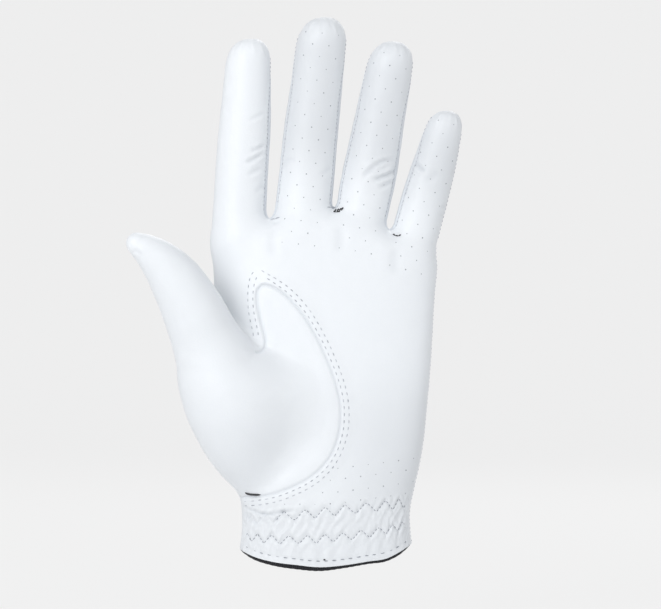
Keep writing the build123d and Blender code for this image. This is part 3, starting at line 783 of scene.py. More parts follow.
def surface_net(values: Array, origin: Array, step: float) -> Skin:
    """Wrap the nought level of a grid of values in a mesh.

    Each cell that the level passes through gets one point, the mean of the places where it crosses the
    cell's edges, and each crossed edge joins the points of the four cells round it.

    Args:
        values: samples on a grid of X, Y and Z.
        origin: the first sample's place.
        step: the spacing of the samples.

    Returns:
        The mesh, with its faces outwards.
    """
    inside = values < 0
    corners = [(i, j, k) for i in (0, 1) for j in (0, 1) for k in (0, 1)]
    nx, ny, nz = (size - 1 for size in values.shape)
    total = sum(inside[i:i + nx, j:j + ny, k:k + nz].astype(np.int8) for i, j, k in corners)
    cells = np.argwhere((total > 0) & (total < 8))
    place, count = np.zeros((len(cells), 3)), np.zeros(len(cells))
    for axis in range(3):
        for corner in (c for c in corners if c[axis] == 0):
            start = cells + corner
            end = start.copy()
            end[:, axis] += 1
            low, high = values[tuple(start.T)], values[tuple(end.T)]
            crosses = (low < 0) != (high < 0)
            share = np.where(crosses, low / np.where(crosses, low - high, 1.0), 0.0)
            spot = np.array(corner, float) + share[:, None] * np.eye(3)[axis]
            place += np.where(crosses[:, None], spot, 0.0)
            count += crosses
    points = origin + step * (cells + place / count[:, None])
    number = np.full((nx, ny, nz), -1, np.int64)
    number[tuple(cells.T)] = np.arange(len(cells))
    quads = []
    for axis in range(3):
        one, two = (axis + 1) % 3, (axis + 2) % 3
        low = np.take(inside, range(values.shape[axis] - 1), axis=axis)
        high = np.take(inside, range(1, values.shape[axis]), axis=axis)
        edge = np.argwhere(low != high)
        fits = (edge[:, one] > 0) & (edge[:, two] > 0)
        fits &= (edge[:, one] < values.shape[one] - 1) & (edge[:, two] < values.shape[two] - 1)
        edge = edge[fits]
        ring = []
        for back_one, back_two in ((1, 1), (0, 1), (0, 0), (1, 0)):
            cell = edge.copy()
            cell[:, one] -= back_one
            cell[:, two] -= back_two
            ring.append(number[tuple(cell.T)])
        ring = np.stack(ring, axis=1)
        outward = inside[tuple(edge.T)]
        quads.append(np.where(outward[:, None], ring, ring[:, ::-1]))
    quads = np.concatenate(quads)
    quads = quads[(quads >= 0).all(axis=1)]
    return Skin(points, np.concatenate([quads[:, [0, 1, 2]], quads[:, [0, 2, 3]]]))


def point_normals(points: Array, triangles: Array) -> Array:
    """Unit normals at points: the sum of the cross products of the triangles round each."""
    corners = points[triangles]
    cross = np.cross(corners[:, 1] - corners[:, 0], corners[:, 2] - corners[:, 0])
    sums = [np.bincount(triangles.ravel(), np.repeat(cross[:, i], 3), len(points)) for i in range(3)]
    return unit(np.stack(sums, axis=1))


def hand_skin(step: float) -> Skin:
    """Wrap the form of the hand: a coarse grid first, then a fine one only near the surface."""
    low, high = np.array([-86.0, -48.0, -4.4]), np.array([64.0, 26.0, 236.0])
    block = 4
    counts = np.ceil((high - low) / (step * block)).astype(int)
    axes = [low[i] + (np.arange(counts[i]) * block + (block - 1) / 2) * step for i in range(3)]
    coarse = np.stack(np.meshgrid(*axes, indexing="ij"), axis=-1).reshape(-1, 3)
    rough = HAND.distance(coarse).reshape(counts)
    values = rough
    for axis in range(3):
        values = np.repeat(values, block, axis=axis)
    near = np.argwhere(np.abs(values) < step * block * 1.35)
    values[tuple(near.T)] = HAND.distance(low + near * step)
    skin = surface_net(values, low, step)
    return Skin(HAND.settle(skin.data), skin.triangles)


def thicken(points: Array, normals: Array, triangles: Array, wall: float) -> tuple[Array, Array]:
    """Give a skin a wall: a second layer under it, and a band of faces round its open edges.

    Args:
        points: the outer points.
        normals: the ways out at those points.
        triangles: the outer faces.
        wall: the thickness.

    Returns:
        All points and all triangles of the closed wall.
    """
    count = len(points)
    inner = points - normals * wall
    edges = np.concatenate([triangles[:, [0, 1]], triangles[:, [1, 2]], triangles[:, [2, 0]]])
    keys = edges[:, 0] * count + edges[:, 1]
    twins = edges[:, 1] * count + edges[:, 0]
    rim = edges[~np.isin(keys, twins)]
    start, end = rim[:, 0], rim[:, 1]
    band = np.concatenate([np.stack([end, start, start + count], axis=1),
                           np.stack([end, start + count, end + count], axis=1)])
    return np.concatenate([points, inner]), np.concatenate([triangles, triangles[:, ::-1] + count, band])


def new_object(name: str, points: Array, faces: Array, smooth: bool = True) -> bpy.types.Object:
    """Make a mesh object at the origin from points in millimetres and faces of one size."""
    mesh = bpy.data.meshes.new(name)
    sides = faces.shape[1]
    mesh.vertices.add(len(points))
    mesh.vertices.foreach_set("co", (points * MM).astype(np.float32).ravel())
    mesh.loops.add(faces.size)
    mesh.loops.foreach_set("vertex_index", faces.astype(np.int32).ravel())
    mesh.polygons.add(len(faces))
    mesh.polygons.foreach_set("loop_start", np.arange(0, faces.size, sides, dtype=np.int32))
    mesh.polygons.foreach_set("loop_total", np.full(len(faces), sides, np.int32))
    mesh.update(calc_edges=True)
    mesh.validate()
    mesh.polygons.foreach_set("use_smooth", np.full(len(mesh.polygons), smooth))
    obj = bpy.data.objects.new(name, mesh)
    bpy.context.scene.collection.objects.link(obj)
    return obj


def add_values(obj: bpy.types.Object, name: str, values: Array) -> None:
    """Store one number for each point, for the material to read."""
    layer = obj.data.attributes.new(name, "FLOAT", "POINT")
    layer.data.foreach_set("value", values.astype(np.float32))


def grid_faces(rows: int, columns: int, wrap_rows: bool, wrap_columns: bool) -> Array:
    """Faces of a grid of points, optionally closed on itself either way."""
    i = np.arange(rows if wrap_rows else rows - 1)
    j = np.arange(columns if wrap_columns else columns - 1)
    i, j = (index.ravel() for index in np.meshgrid(i, j, indexing="ij"))
    below, beside = (i + 1) % rows, (j + 1) % columns
    return np.stack([i * columns + j, i * columns + beside, below * columns + beside, below * columns + j], 1)


def unit(vectors: Array) -> Array:
    """Scale vectors to a length of one."""
    return vectors / np.maximum(np.linalg.norm(vectors, axis=-1, keepdims=True), 1e-9)


def stitch_mesh(starts: Array, ends: Array, normals: Array, radius: float) -> tuple[Array, Array]:
    """Make one thread loop between each start and end.

    A loop is a tube whose radius and height follow half an oval along it, so both ends dip into the
    leather.

    Args:
        starts: where each stitch comes up.
        ends: where each stitch goes down.
        normals: the leather's ways out.
        radius: the thread's radius.

    Returns:
        Points and quads of all the stitches.
    """
    rings, sides = 6, 6
    share = np.linspace(-1.0, 1.0, rings)
    turn = np.arange(sides) * 2 * math.pi / sides
    along = unit(ends - starts)
    across = unit(np.cross(normals, along))
    rise = np.sqrt(np.maximum(1.0 - share**2, 0.0))
    swell = 0.35 + 0.65 * rise
    middle = (starts + ends)[:, None] / 2 + (ends - starts)[:, None] * share[None, :, None] / 2
    middle = middle + normals[:, None] * (radius * (1.1 * rise - 0.55))[None, :, None]
    ring = across[:, None, None] * np.cos(turn)[None, None, :, None]
    ring = ring + normals[:, None, None] * np.sin(turn)[None, None, :, None]
    points = middle[:, :, None] + ring * (radius * swell)[None, :, None, None]
    ends = np.array([[0, 1, 2, 3], [0, 3, 4, 5]])
    faces = np.concatenate([grid_faces(rings, sides, False, True), ends[:, ::-1], ends + (rings - 1) * sides])
    every = faces[None] + (np.arange(len(starts)) * rings * sides)[:, None, None]
    return face_out(points.reshape(-1, 3), every.reshape(-1, 4))


def even_places(line: Array, pitch: float) -> Array:
    """Places along a plane line, a pitch apart."""
    length = run_along(line)
    at = np.arange(pitch / 2, length[-1], pitch)
    return np.stack([np.interp(at, length, line[:, 0]), np.interp(at, length, line[:, 1])], axis=1)


def seam_stitches(places: Array, normals: Array, fill: float, radius: float) -> tuple[Array, Array]:
    """Stitches between neighbouring places, each filling a share of its gap."""
    starts, ends = places[:-1], places[1:]
    middle, half = (starts + ends) / 2, (ends - starts) / 2 * fill
    return stitch_mesh(middle - half, middle + half, normals[:-1], radius)


def join_parts(parts: list[tuple[Array, Array]]) -> tuple[Array, Array]:
    """Put several meshes' points and faces together."""
    points, faces, base = [], [], 0
    for part_points, part_faces in parts:
        points.append(part_points)
        faces.append(part_faces + base)
        base += len(part_points)
    return np.concatenate(points), np.concatenate(faces)


def face_out(points: Array, faces: Array) -> tuple[Array, Array]:
    """Turn a closed mesh's quads over if they enclose a negative volume."""
    corners = points[faces] - points.mean(axis=0)
    first = np.einsum("ij,ij->i", corners[:, 0], np.cross(corners[:, 1], corners[:, 2]))
    second = np.einsum("ij,ij->i", corners[:, 0], np.cross(corners[:, 2], corners[:, 3]))
    return points, faces if (first + second).sum() > 0 else faces[:, ::-1]


def slab(base: Array, normals: Array, low: Array | float, high: Array | float) -> tuple[Array, Array]:
    """Close a grid of surface points into a flat piece.

    The underside and the top stand off the grid along its normals by low and high, and a band of faces
    joins them round the rim.

    Args:
        base: rows by columns of points, running so that the normals point outwards.
        normals: the ways out at those points.
        low: the underside's height, one number or one for each point.
        high: the top's height, likewise.

    Returns:
        Points and quads.
    """
    rows, columns = base.shape[:2]
    low = np.broadcast_to(low, (rows, columns))[..., None]
    high = np.broadcast_to(high, (rows, columns))[..., None]
    points = np.concatenate([(base + normals * high).reshape(-1, 3), (base + normals * low).reshape(-1, 3)])
    top = grid_faces(rows, columns, False, False)
    index = np.arange(rows * columns).reshape(rows, columns)
    rim = np.concatenate([index[:-1, 0], index[-1, :-1], index[:0:-1, -1], index[0, :0:-1]])
    after = np.roll(rim, -1)
    below = rows * columns
    band = np.stack([rim, after, after + below, rim + below], axis=1)
    return face_out(points, np.concatenate([top, top[:, ::-1] + below, band]))


def ribbon(line: Array, normals: Array, half_width: float, low: float, high: float) -> tuple[Array, Array]:
    """Carry a rounded flat strip along a line: a slab whose top falls away towards its two edges."""
    across = unit(np.cross(normals, unit(np.gradient(line, axis=0))))
    share = np.linspace(-1.0, 1.0, 9)
    base = line[:, None] + across[:, None] * (share * half_width)[None, :, None]
    rounded = low + (high - low) * (1.0 - 0.6 * np.abs(share) ** 4)
    spread = np.broadcast_to(normals[:, None], base.shape)
    return slab(base, spread, low, np.broadcast_to(rounded, base.shape[:2]))


def back_strap(start_x: float, end_x: float, middle_z: float, half: Callable[[Array], Array], low: float,
               high: float) -> tuple[Array, Array]:
    """Lay a flat piece on the glove's back.

    Columns run across X, closer together towards the ends, and rows fill the outline's height there. The
    top falls by a third of the thickness within a millimetre of the rim.

    Args:
        start_x: the outline's left end, in millimetres.
        end_x: its right end.
        middle_z: the height of its middle line.
        half: half its height at a place across.
        low: the underside's height above the form.
        high: the top's height.

    Returns:
        Points and quads.
    """
    columns, rows = 56, 27
    share = (1.0 - np.cos(np.linspace(0.0, math.pi, columns))) / 2.0
    x = start_x + (end_x - start_x) * share
    up = np.linspace(-1.0, 1.0, rows)
    up = np.sign(up) * (1.0 - (1.0 - np.abs(up)) ** 1.25)
    halves = half(x)
    flat_x = np.broadcast_to(x[:, None], (columns, rows))
    flat_z = middle_z + halves[:, None] * up[None, :]
    base = HAND.on_back(flat_x.ravel(), flat_z.ravel())
    normals = HAND.normals(base).reshape(columns, rows, 3)
    rim = np.minimum(halves[:, None] * (1.0 - np.abs(up))[None, :],
                     np.minimum(x - start_x, end_x - x)[:, None])
    top = high - (high - low) * 0.35 * (1.0 - np.clip(rim / 0.9, 0.0, 1.0)) ** 2
    return slab(base.reshape(columns, rows, 3), normals, low, top)


def rounded_half(start_x: float, end_x: float, half: float, corner: float) -> Callable[[Array], Array]:
    """Half the height of a rectangle with round corners, at a place across it."""

    def at(x: Array) -> Array:
        """Read it: full in the middle, and a quarter circle's height within a corner of either end."""
        inside = np.clip(np.minimum(x - start_x, end_x - x), 0.0, corner)
        return half - corner + np.sqrt(np.maximum(corner**2 - (corner - inside) ** 2, 0.0)) + 1e-3

    return at


# ---------------------------------------------------------------------------------------------------------
# Finishes
# ---------------------------------------------------------------------------------------------------------

Colour = tuple[float, float, float]


class Nodes:
    """A short way to write the node tree of a material or a world."""

    def __init__(self, name: str, kind: str = "materials") -> None:
        """Start an empty tree.

        Args:
            name: the material's or world's name.
            kind: the collection of Blender's data that it goes into.
        """
        self.owner = getattr(bpy.data, kind).new(name)
        self.owner.use_nodes = True
        self.tree = self.owner.node_tree
        self.tree.nodes.clear()

    def add(self, kind: str, settings: dict | None = None, **sockets) -> bpy.types.Node:
        """Add a node, with its settings, and its input sockets set to values or joined to outputs."""
        node = self.tree.nodes.new(kind)
        for key, value in (settings or {}).items():
            setattr(node, key, value)
        for key, value in sockets.items():
            numbered = key[0] == "n" and key[1:].isdigit()
            socket = node.inputs[int(key[1:]) if numbered else key.replace("_", " ")]
            if isinstance(value, bpy.types.NodeSocket):
                self.tree.links.new(value, socket)
            else:
                socket.default_value = value
        return node

    def math(self, operation: str, first, second=0.0) -> bpy.types.NodeSocket:
        """Work out a number from two others."""
        return self.add("ShaderNodeMath", {"operation": operation}, n0=first, n1=second).outputs[0]

    def blend(self, share, first, second) -> bpy.types.NodeSocket:
        """Mix two colours."""
        first = (*first, 1.0) if isinstance(first, tuple) else first
        second = (*second, 1.0) if isinstance(second, tuple) else second
        node = self.add("ShaderNodeMix", {"data_type": "RGBA"}, n0=share, n6=first, n7=second)
        return node.outputs[2]

    def noise(self, place, size: float, detail: float = 3.0) -> bpy.types.NodeSocket:
        """Soft random blotches of a size in millimetres."""
        scale = 1000.0 / size
        return self.add("ShaderNodeTexNoise", Vector=place, Scale=scale, Detail=detail).outputs["Fac"]

    def cells(self, place, size: float) -> bpy.types.NodeSocket:
        """Distance to the nearest of many scattered points, a size in millimetres apart."""
        return self.add("ShaderNodeTexVoronoi", Vector=place, Scale=1000.0 / size).outputs["Distance"]

    def place(self) -> bpy.types.NodeSocket:
        """The place on the object, in metres."""
        return self.add("ShaderNodeTexCoord").outputs["Object"]

    def bump(self, height, depth: float, normal=None) -> bpy.types.NodeSocket:
        """Raise the surface by a height, at most by a depth in millimetres."""
        node = self.add("ShaderNodeBump", Height=height, Distance=depth * MM, Strength=1.0)
        if normal is not None:
            self.tree.links.new(normal, node.inputs["Normal"])
        return node.outputs[0]

    def surface(self, **sockets) -> bpy.types.Material:
        """Finish with a principled surface."""
        shader = self.add("ShaderNodeBsdfPrincipled", **sockets)
        self.add("ShaderNodeOutputMaterial", Surface=shader.outputs[0])
        return self.owner

    def seen(self) -> bpy.types.NodeSocket:
        """One for rays from the camera and through glossy or clear surfaces, and nought for the rest."""
        path = self.add("ShaderNodeLightPath")
        seen = self.math("MAXIMUM", path.outputs["Is Camera Ray"], path.outputs["Is Glossy Ray"])
        return self.math("MAXIMUM", seen, path.outputs["Is Transmission Ray"])


@dataclass(frozen=True)
class Leather:
    """Thin dressed leather: a fine pebbled grain, faint blotches, and painted shade in the seams, the creases,
    on three fingers, low on the palm and on the wrist's gathers.
    """

    name: str
    colour: Colour = (0.850, 0.875, 0.900)
    blotch: Colour = (0.820, 0.845, 0.870)
    # Colour of the pores' grain, and of the painted shade in the seam grooves and creases.
    seam: Colour = (0.50, 0.53, 0.57)
    # Colour of the painted shade on three fingers, the low palm and the wrist's gathers.
    painted_shade_colour: Colour = (0.71, 0.732, 0.757)
    roughness: float = 0.46
    grain: float = 0.75
    depth: float = 0.028

    def material(self) -> bpy.types.Material:
        """Build it: cells and noise make the grain's height, and the skin's painted shades darken the seams,
        the creases, three fingers, the low palm and the wrist's gathers.
        """
        nodes = Nodes(self.name)
        place = nodes.place()
        pebbles = nodes.cells(place, self.grain)
        pores = nodes.noise(place, self.grain * 0.45, 2.0)
        soft = nodes.noise(place, 26.0, 2.0)
        height = nodes.math("ADD", nodes.math("MULTIPLY", pebbles, 0.55), nodes.math("MULTIPLY", pores, 0.5))
        creases = nodes.noise(place, 4.2, 4.0)
        normal = nodes.bump(creases, 0.10)
        normal = nodes.bump(height, self.depth, normal)
        # Painted shade of the seam grooves, the strips' seams and the creases, read from the skin.
        shade = nodes.add("ShaderNodeAttribute", {"attribute_name": "painted_seam_and_crease_shade"}).outputs["Fac"]
        blotches = nodes.math("MULTIPLY", soft, 0.9)
        colour = nodes.blend(blotches, self.colour, self.blotch)
        # Painted shade of three fingers, the low palm and the wrist's gathers.
        tone = nodes.add("ShaderNodeAttribute", {"attribute_name": "painted_shade_tone"}).outputs["Fac"]
        colour = nodes.blend(tone, colour, self.painted_shade_colour)
        open_share = nodes.math("MULTIPLY", nodes.math("SUBTRACT", 1.0, pores), 0.12)
        pored = nodes.blend(open_share, colour, self.seam)
        # Painted shade: the seams and creases darken towards the seam colour.
        colour = nodes.blend(nodes.math("MULTIPLY", shade, 0.55), pored, self.seam)
        rough = nodes.math("ADD", nodes.math("MULTIPLY", pores, 0.16), self.roughness - 0.06)
        return nodes.surface(Base_Color=colour, Roughness=rough, Normal=normal, Sheen_Weight=0.10,
                             Sheen_Roughness=0.45, Specular_IOR_Level=0.42)


@dataclass(frozen=True)
class Woven:
    """A narrow woven tape or elastic: ribs one way crossed by finer yarns the other way."""

    name: str
    colour: Colour
    gap_colour: Colour
    rib: float
    yarn: float
    depth: float
    roughness: float = 0.85

    def material(self) -> bpy.types.Material:
        """Build it: two bands of waves on the piece's own lengthways and crossways numbers."""
        nodes = Nodes(self.name)
        length = nodes.add("ShaderNodeAttribute", {"attribute_name": "run"}).outputs["Fac"]
        width = nodes.add("ShaderNodeAttribute", {"attribute_name": "rise"}).outputs["Fac"]
        ribs = nodes.math("SINE", nodes.math("MULTIPLY", length, 2 * math.pi / self.rib))
        yarns = nodes.math("SINE", nodes.math("MULTIPLY", width, 2 * math.pi / self.yarn))
        both = nodes.math("ADD", nodes.math("MULTIPLY", ribs, 0.34), nodes.math("MULTIPLY", yarns, 0.16))
        height = nodes.math("ADD", both, 0.5)
        fuzz = nodes.noise(nodes.place(), 0.4, 3.0)
        colour = nodes.blend(height, self.gap_colour, self.colour)
        colour = nodes.blend(nodes.math("MULTIPLY", fuzz, 0.35), colour, self.gap_colour)
        normal = nodes.bump(nodes.math("ADD", height, nodes.math("MULTIPLY", fuzz, 0.4)), self.depth)
        return nodes.surface(Base_Color=colour, Roughness=self.roughness, Normal=normal, Sheen_Weight=0.3,
                             Sheen_Roughness=0.5, Specular_IOR_Level=0.2)


@dataclass(frozen=True)
class Thread:
    """Twisted sewing thread."""

    name: str
    colour: Colour
    dark: Colour
    twist: float = 0.28

    def material(self) -> bpy.types.Material:
        """Build it: a wave across space for the twist, over soft noise."""
        nodes = Nodes(self.name)
        place = nodes.place()
        waves = nodes.add("ShaderNodeTexWave", {"bands_direction": "DIAGONAL"}, Vector=place,
                          Scale=1000.0 / self.twist / 20.0, Distortion=0.6).outputs["Fac"]
        colour = nodes.blend(waves, self.dark, self.colour)
        normal = nodes.bump(waves, 0.05)
        return nodes.surface(Base_Color=colour, Roughness=0.6, Normal=normal, Sheen_Weight=0.2)


@dataclass(frozen=True)
class Pile:
    """A hook or loop face: a dense field of small tufts."""

    name: str
    colour: Colour
    gap_colour: Colour
    tuft: float
    depth: float
    roughness: float = 0.8

    def material(self) -> bpy.types.Material:
        """Build it: scattered cells are the tufts, dark between them."""
        nodes = Nodes(self.name)
        place = nodes.place()
        tufts = nodes.math("SUBTRACT", 1.0, nodes.cells(place, self.tuft))
        fuzz = nodes.noise(place, self.tuft * 0.6, 4.0)
        height = nodes.math("ADD", nodes.math("MULTIPLY", tufts, 0.7), nodes.math("MULTIPLY", fuzz, 0.5))
        colour = nodes.blend(nodes.math("POWER", tufts, 2.0), self.gap_colour, self.colour)
        normal = nodes.bump(height, self.depth)
        return nodes.surface(Base_Color=colour, Roughness=self.roughness, Normal=normal, Sheen_Weight=0.25,
                             Sheen_Roughness=0.5)


WHITE_LEATHER = Leather("white_leather")
GUSSET_LEATHER = Leather("gusset_leather", colour=(0.81, 0.845, 0.88), blotch=(0.78, 0.81, 0.845))
TAB_LEATHER = Leather("tab_leather", grain=0.9, depth=0.035)
BINDING_LEATHER = Leather("binding_leather", colour=(0.80, 0.83, 0.865), grain=0.6)
BLACK_TAPE = Woven("black_tape", (0.030, 0.031, 0.036), (0.008, 0.008, 0.010), 0.9, 0.55, 0.10)
WHITE_ELASTIC = Woven("white_elastic", (0.78, 0.80, 0.82), (0.55, 0.57, 0.60), 1.3, 0.8, 0.15)
SEAM_TAPE = Woven("seam_tape", (0.80, 0.82, 0.84), (0.62, 0.64, 0.67), 0.8, 0.8, 0.05)
# The thread is white; its grey colours are painted shade, darker for the wrist's zigzag and hem rows.
WHITE_THREAD = Thread("white_thread", (0.58, 0.60, 0.64), (0.40, 0.42, 0.46))
WHITE_THREAD_IN_PAINTED_SHADE = Thread("white_thread_in_painted_shade", (0.40, 0.42, 0.46), (0.24, 0.26, 0.29))
# Black thread, also used for the painted shade bars in the gap under the thumb's ball.
BLACK_THREAD_AND_GAP_SHADE = Thread("black_thread_and_gap_shade", (0.035, 0.035, 0.04), (0.012, 0.012, 0.014))
LOOP_PILE = Pile("loop_pile", (0.80, 0.82, 0.84), (0.52, 0.54, 0.57), 0.7, 0.25)
HOOK_FIELD = Pile("hook_field", (0.78, 0.80, 0.82), (0.46, 0.48, 0.50), 1.1, 0.35, 0.45)
VENT_SHADE = Pile("vent_shade", (0.40, 0.42, 0.45), (0.26, 0.27, 0.30), 0.5, 0.02, 0.7)

# ---------------------------------------------------------------------------------------------------------
# Sub-assemblies
# ---------------------------------------------------------------------------------------------------------


@dataclass(frozen=True)
class Hold:
    """How a piece is held: by one body, or, when two places are given, by none, with its transform baked in."""

    body: str = "hand"
    start: tuple[float, float, float] | None = None
    end: tuple[float, float, float] | None = None

    def apply(self, obj: bpy.types.Object) -> None:
        """Fix the piece to its body, or, when two places are given, only bake its transform."""
        if self.start is None:
            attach(obj, self.body)
        else:
            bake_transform(obj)


def finger_hold(finger: FingerForm) -> Hold:
    """A finger's hold: its body, and two places round the crease just above its fork."""
    low, high = (tuple(finger.centre(height)[0]) for height in (5.0, 15.5))
    return Hold(f"{finger.name}_finger", low, high)


@dataclass(frozen=True)
class ThumbBend:
    """Where the thumb's leather bends."""

    crease: tuple[float, float, float] = (-54.6, -27.6, 108.0)
    way: tuple[float, float, float] = (-0.547, -0.375, 0.749)
    reach: float = 8.0

    def height(self, points: Array) -> Array:
        """How far along the thumb places are, from the crease."""
        return (points - np.array(self.crease)) @ unit(np.array(self.way))

    def hold(self) -> Hold:
        """The thumb tip's hold: its body, and two places across its crease."""
        way = unit(np.array(self.way)) * self.reach
        crease = np.array(self.crease)
        return Hold("thumb_tip", tuple(crease - way), tuple(crease + way))


THUMB_BEND = ThumbBend()


def dress(obj: bpy.types.Object, material: bpy.types.Material, hold: Hold,
          replaced: tuple[str, ...] = ()) -> bpy.types.Object:
    """Give a piece its material and its hold, and hide the nodes that it replaces.

    Args:
        obj: the piece.
        material: its finish.
        hold: how it moves.
        replaced: names of the nodes that it replaces.

    Returns:
        The piece.
    """
    obj.data.materials.append(material)
    hold.apply(obj)
    if replaced:
        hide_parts(*replaced)
    log.info("%s: %d faces", obj.name, len(obj.data.polygons))
    return obj


@dataclass
class GloveSkin:
    """The leather: one skin over the hand, cut along its seams into panels with a wall."""

    step: float = 0.7
    quick_step: float = 1.1
    wall: float = 0.6
    strip_half: float = 4.0
    gusset_reach: float = 6.5
    seam_levels: tuple[float, ...] = (-1.5, -0.75, -0.35, 0.25, 0.7, 1.5)
    row_levels: tuple[float, ...] = (-1.2, 0.0, 1.2)
    strip_levels: tuple[float, ...] = (0.3, 0.75)
    fork_places: tuple[tuple[float, float], ...] = ((-23.1, 148.2), (3.4, 152.6), (26.9, 143.9))
    fork_names: tuple[str, ...] = ("index_middle", "middle_ring", "ring_little")
    root_x: tuple[float, ...] = (-62, -47, -34, -23.1, -10, 3.4, 15, 26.9, 38, 62)
    root_z: tuple[float, ...] = (149.5, 149.5, 150.3, 150.9, 151.6, 155.2, 150.4, 146.4, 141.4, 137)
    thumb_back: tuple[float, float] = (0.0, 3.0)

    def root(self, points: Array) -> Array:
        """Height above the line where the fingers' pieces start."""
        return points[:, 2] - curve_through(points[:, 0], self.root_x, self.root_z)

    def thumb_piece(self, points: Array) -> Array:
        """Negative in the thumb's piece: inside its seam on the palm side, or nearer the thumb."""
        low, high = self.thumb_back
        depth = points[:, 1] - (low + (high - low) * smooth_step(points[:, 2], 30.0, 60.0))
        ball = smooth_common(SEAM.field(points), depth, 2.0)
        lead = HAND.thumb_lead(points)
        lead = np.where(points[:, 2] < 40.0, np.maximum(lead, 4.0), lead)
        return np.minimum(ball, lead)

    def seam_gap(self, points: Array) -> Array:
        """Distance from the thumb's seam, on the palm side only."""
        return np.where(points[:, 1] < 0.0, SEAM.field(points), 50.0)

    def row_gap(self, zigzag: Zigzag, points: Array) -> Array:
        """Height above a zigzag row, on the palm side only."""
        gap = points[:, 2] - zigzag.level(points[:, 0], WRIST.run(points[:, 0]))
        return np.where(points[:, 1] < -2.0, gap, 50.0)

    def form(self) -> Skin:
        """Wrap the hand, add lines of points along the seams, and work out the leather's face."""
        skin = hand_skin(self.step)
        lines = (
            (self.seam_gap, self.seam_levels), (partial(self.row_gap, WRIST.upper), self.row_levels),
            (partial(self.row_gap, WRIST.lower), self.row_levels), (RELIEF.strips, self.strip_levels),
        )
        for gap, levels in lines:
            skin = Skin(np.concatenate([skin.form, gap(skin.form)[:, None]], axis=1), skin.triangles)
            for level in levels:
                skin, _ = skin.score(skin.data[:, 3] - level)
        places = skin.form
        normals = HAND.normals(places)
        offset, shade = RELIEF.height(places, normals)
        face = places + normals * offset[:, None]
        out = point_normals(face, skin.triangles)
        # The skin's painted shades: of the seams and creases, and of three fingers, the low palm and the wrist.
        tones = np.stack([shade, RELIEF.painted_shade_tone(places)], axis=1)
        return Skin(np.concatenate([places, face, out, normals, tones], axis=1), skin.triangles)

    def panel(self, name: str, skin: Skin) -> bpy.types.Object:
        """Make a panel with its wall, its smooth normals and its two painted shades."""
        skin = skin.compact()
        face, out, way, shade = skin.data[:, 3:6], skin.data[:, 6:9], skin.data[:, 9:12], skin.data[:, 12]
        points, triangles = thicken(face, way, skin.triangles, self.wall)
        obj = new_object(name, points, triangles)
        add_values(obj, "painted_seam_and_crease_shade", np.concatenate([shade, shade]))
        add_values(obj, "painted_shade_tone", np.tile(skin.data[:, 13], 2))
        obj.data.normals_split_custom_set_from_vertices(np.concatenate([unit(out), -unit(out)]))
        return obj

    def gusset(self, points: Array, fork: tuple[float, float]) -> Array:
        """Negative in a fork's gusset: near the fork, and within half a side strip of mid depth."""
        reach = np.hypot(points[:, 0] - fork[0], (points[:, 2] - fork[1]) * 0.8) - self.gusset_reach
        return np.maximum(np.abs(points[:, 1]) - self.strip_half, reach)

    def build(self) -> None:
        """Build and dress every panel."""
        leather, gusset_leather = WHITE_LEATHER.material(), GUSSET_LEATHER.material()
        skin = self.form()
        _, skin = skin.divide(skin.form[:, 2] - WRIST.hem(skin.form[:, 0]))
        _, skin = skin.divide(WRIST.slit(skin.form))
        thumb, skin = skin.divide(self.thumb_piece(skin.form))
        base, tip = thumb.divide(THUMB_BEND.height(thumb.form) + THUMB_BEND.reach + 0.5)
        dress(self.panel("thumb_base_skin", base), leather, Hold(), ("thumb_leather",))
        dress(self.panel("thumb_tip_skin", tip), leather, THUMB_BEND.hold(),
              ("thumb_stall",))
        hand, fingers = skin.divide(self.root(skin.form))
        for fork, name in zip(self.fork_places, self.fork_names):
            piece, hand = hand.divide(self.gusset(hand.form, fork))
            dress(self.panel(f"fork_{name}_skin", piece), gusset_leather, Hold(),
                  (f"fork_gusset_{name}",))
        palm, back = hand.divide(hand.form[:, 1])
        dress(self.panel("palm_skin", palm), leather, Hold(), ("palm_leather",))
        dress(self.panel("back_skin", back), leather, Hold(), ("back_leather",))
        for index, finger in enumerate(HAND.fingers):
            later = HAND.fingers[index + 1:]
            if later:
                others = np.min([other.distance(fingers.form) for other in later], axis=0)
                piece, fingers = fingers.divide(finger.distance(fingers.form) - others)
            else:
                piece = fingers
            self.finger(finger, piece, leather, gusset_leather)

    def finger(self, finger: FingerForm, skin: Skin, leather: bpy.types.Material,
               gusset_leather: bpy.types.Material) -> None:
        """Cut a finger into its side strips, its front and its back."""
        hold = finger_hold(finger)
        names = STRIP_NODES[finger.name]
        for side in finger.strips:
            across, through, height = finger.local(skin.form)
            outline = np.maximum(np.abs(through) - finger.strip_half_width(height), height - finger.strip_end)
            strip, skin = skin.divide(np.maximum(outline, 1.5 - across * side.value))
            name = names[side]
            dress(self.panel(f"{name}_skin", strip), gusset_leather, hold, (name,))
        _, through, _ = finger.local(skin.form)
        front, back = skin.divide(through)
        for piece, part in ((front, "front"), (back, "back")):
            node = f"{finger.name}_{part}"
            dress(self.panel(f"{node}_skin", piece), leather, hold, (node,))


STRIP_NODES = {
    "index": {Side.LITTLE: "index_fourchette"},
    "middle": {Side.THUMB: "middle_fourchette_index_side", Side.LITTLE: "middle_fourchette_ring_side"},
    "ring": {Side.THUMB: "ring_fourchette_middle_side", Side.LITTLE: "ring_fourchette_little_side"},
    "little": {Side.THUMB: "little_fourchette"},
}


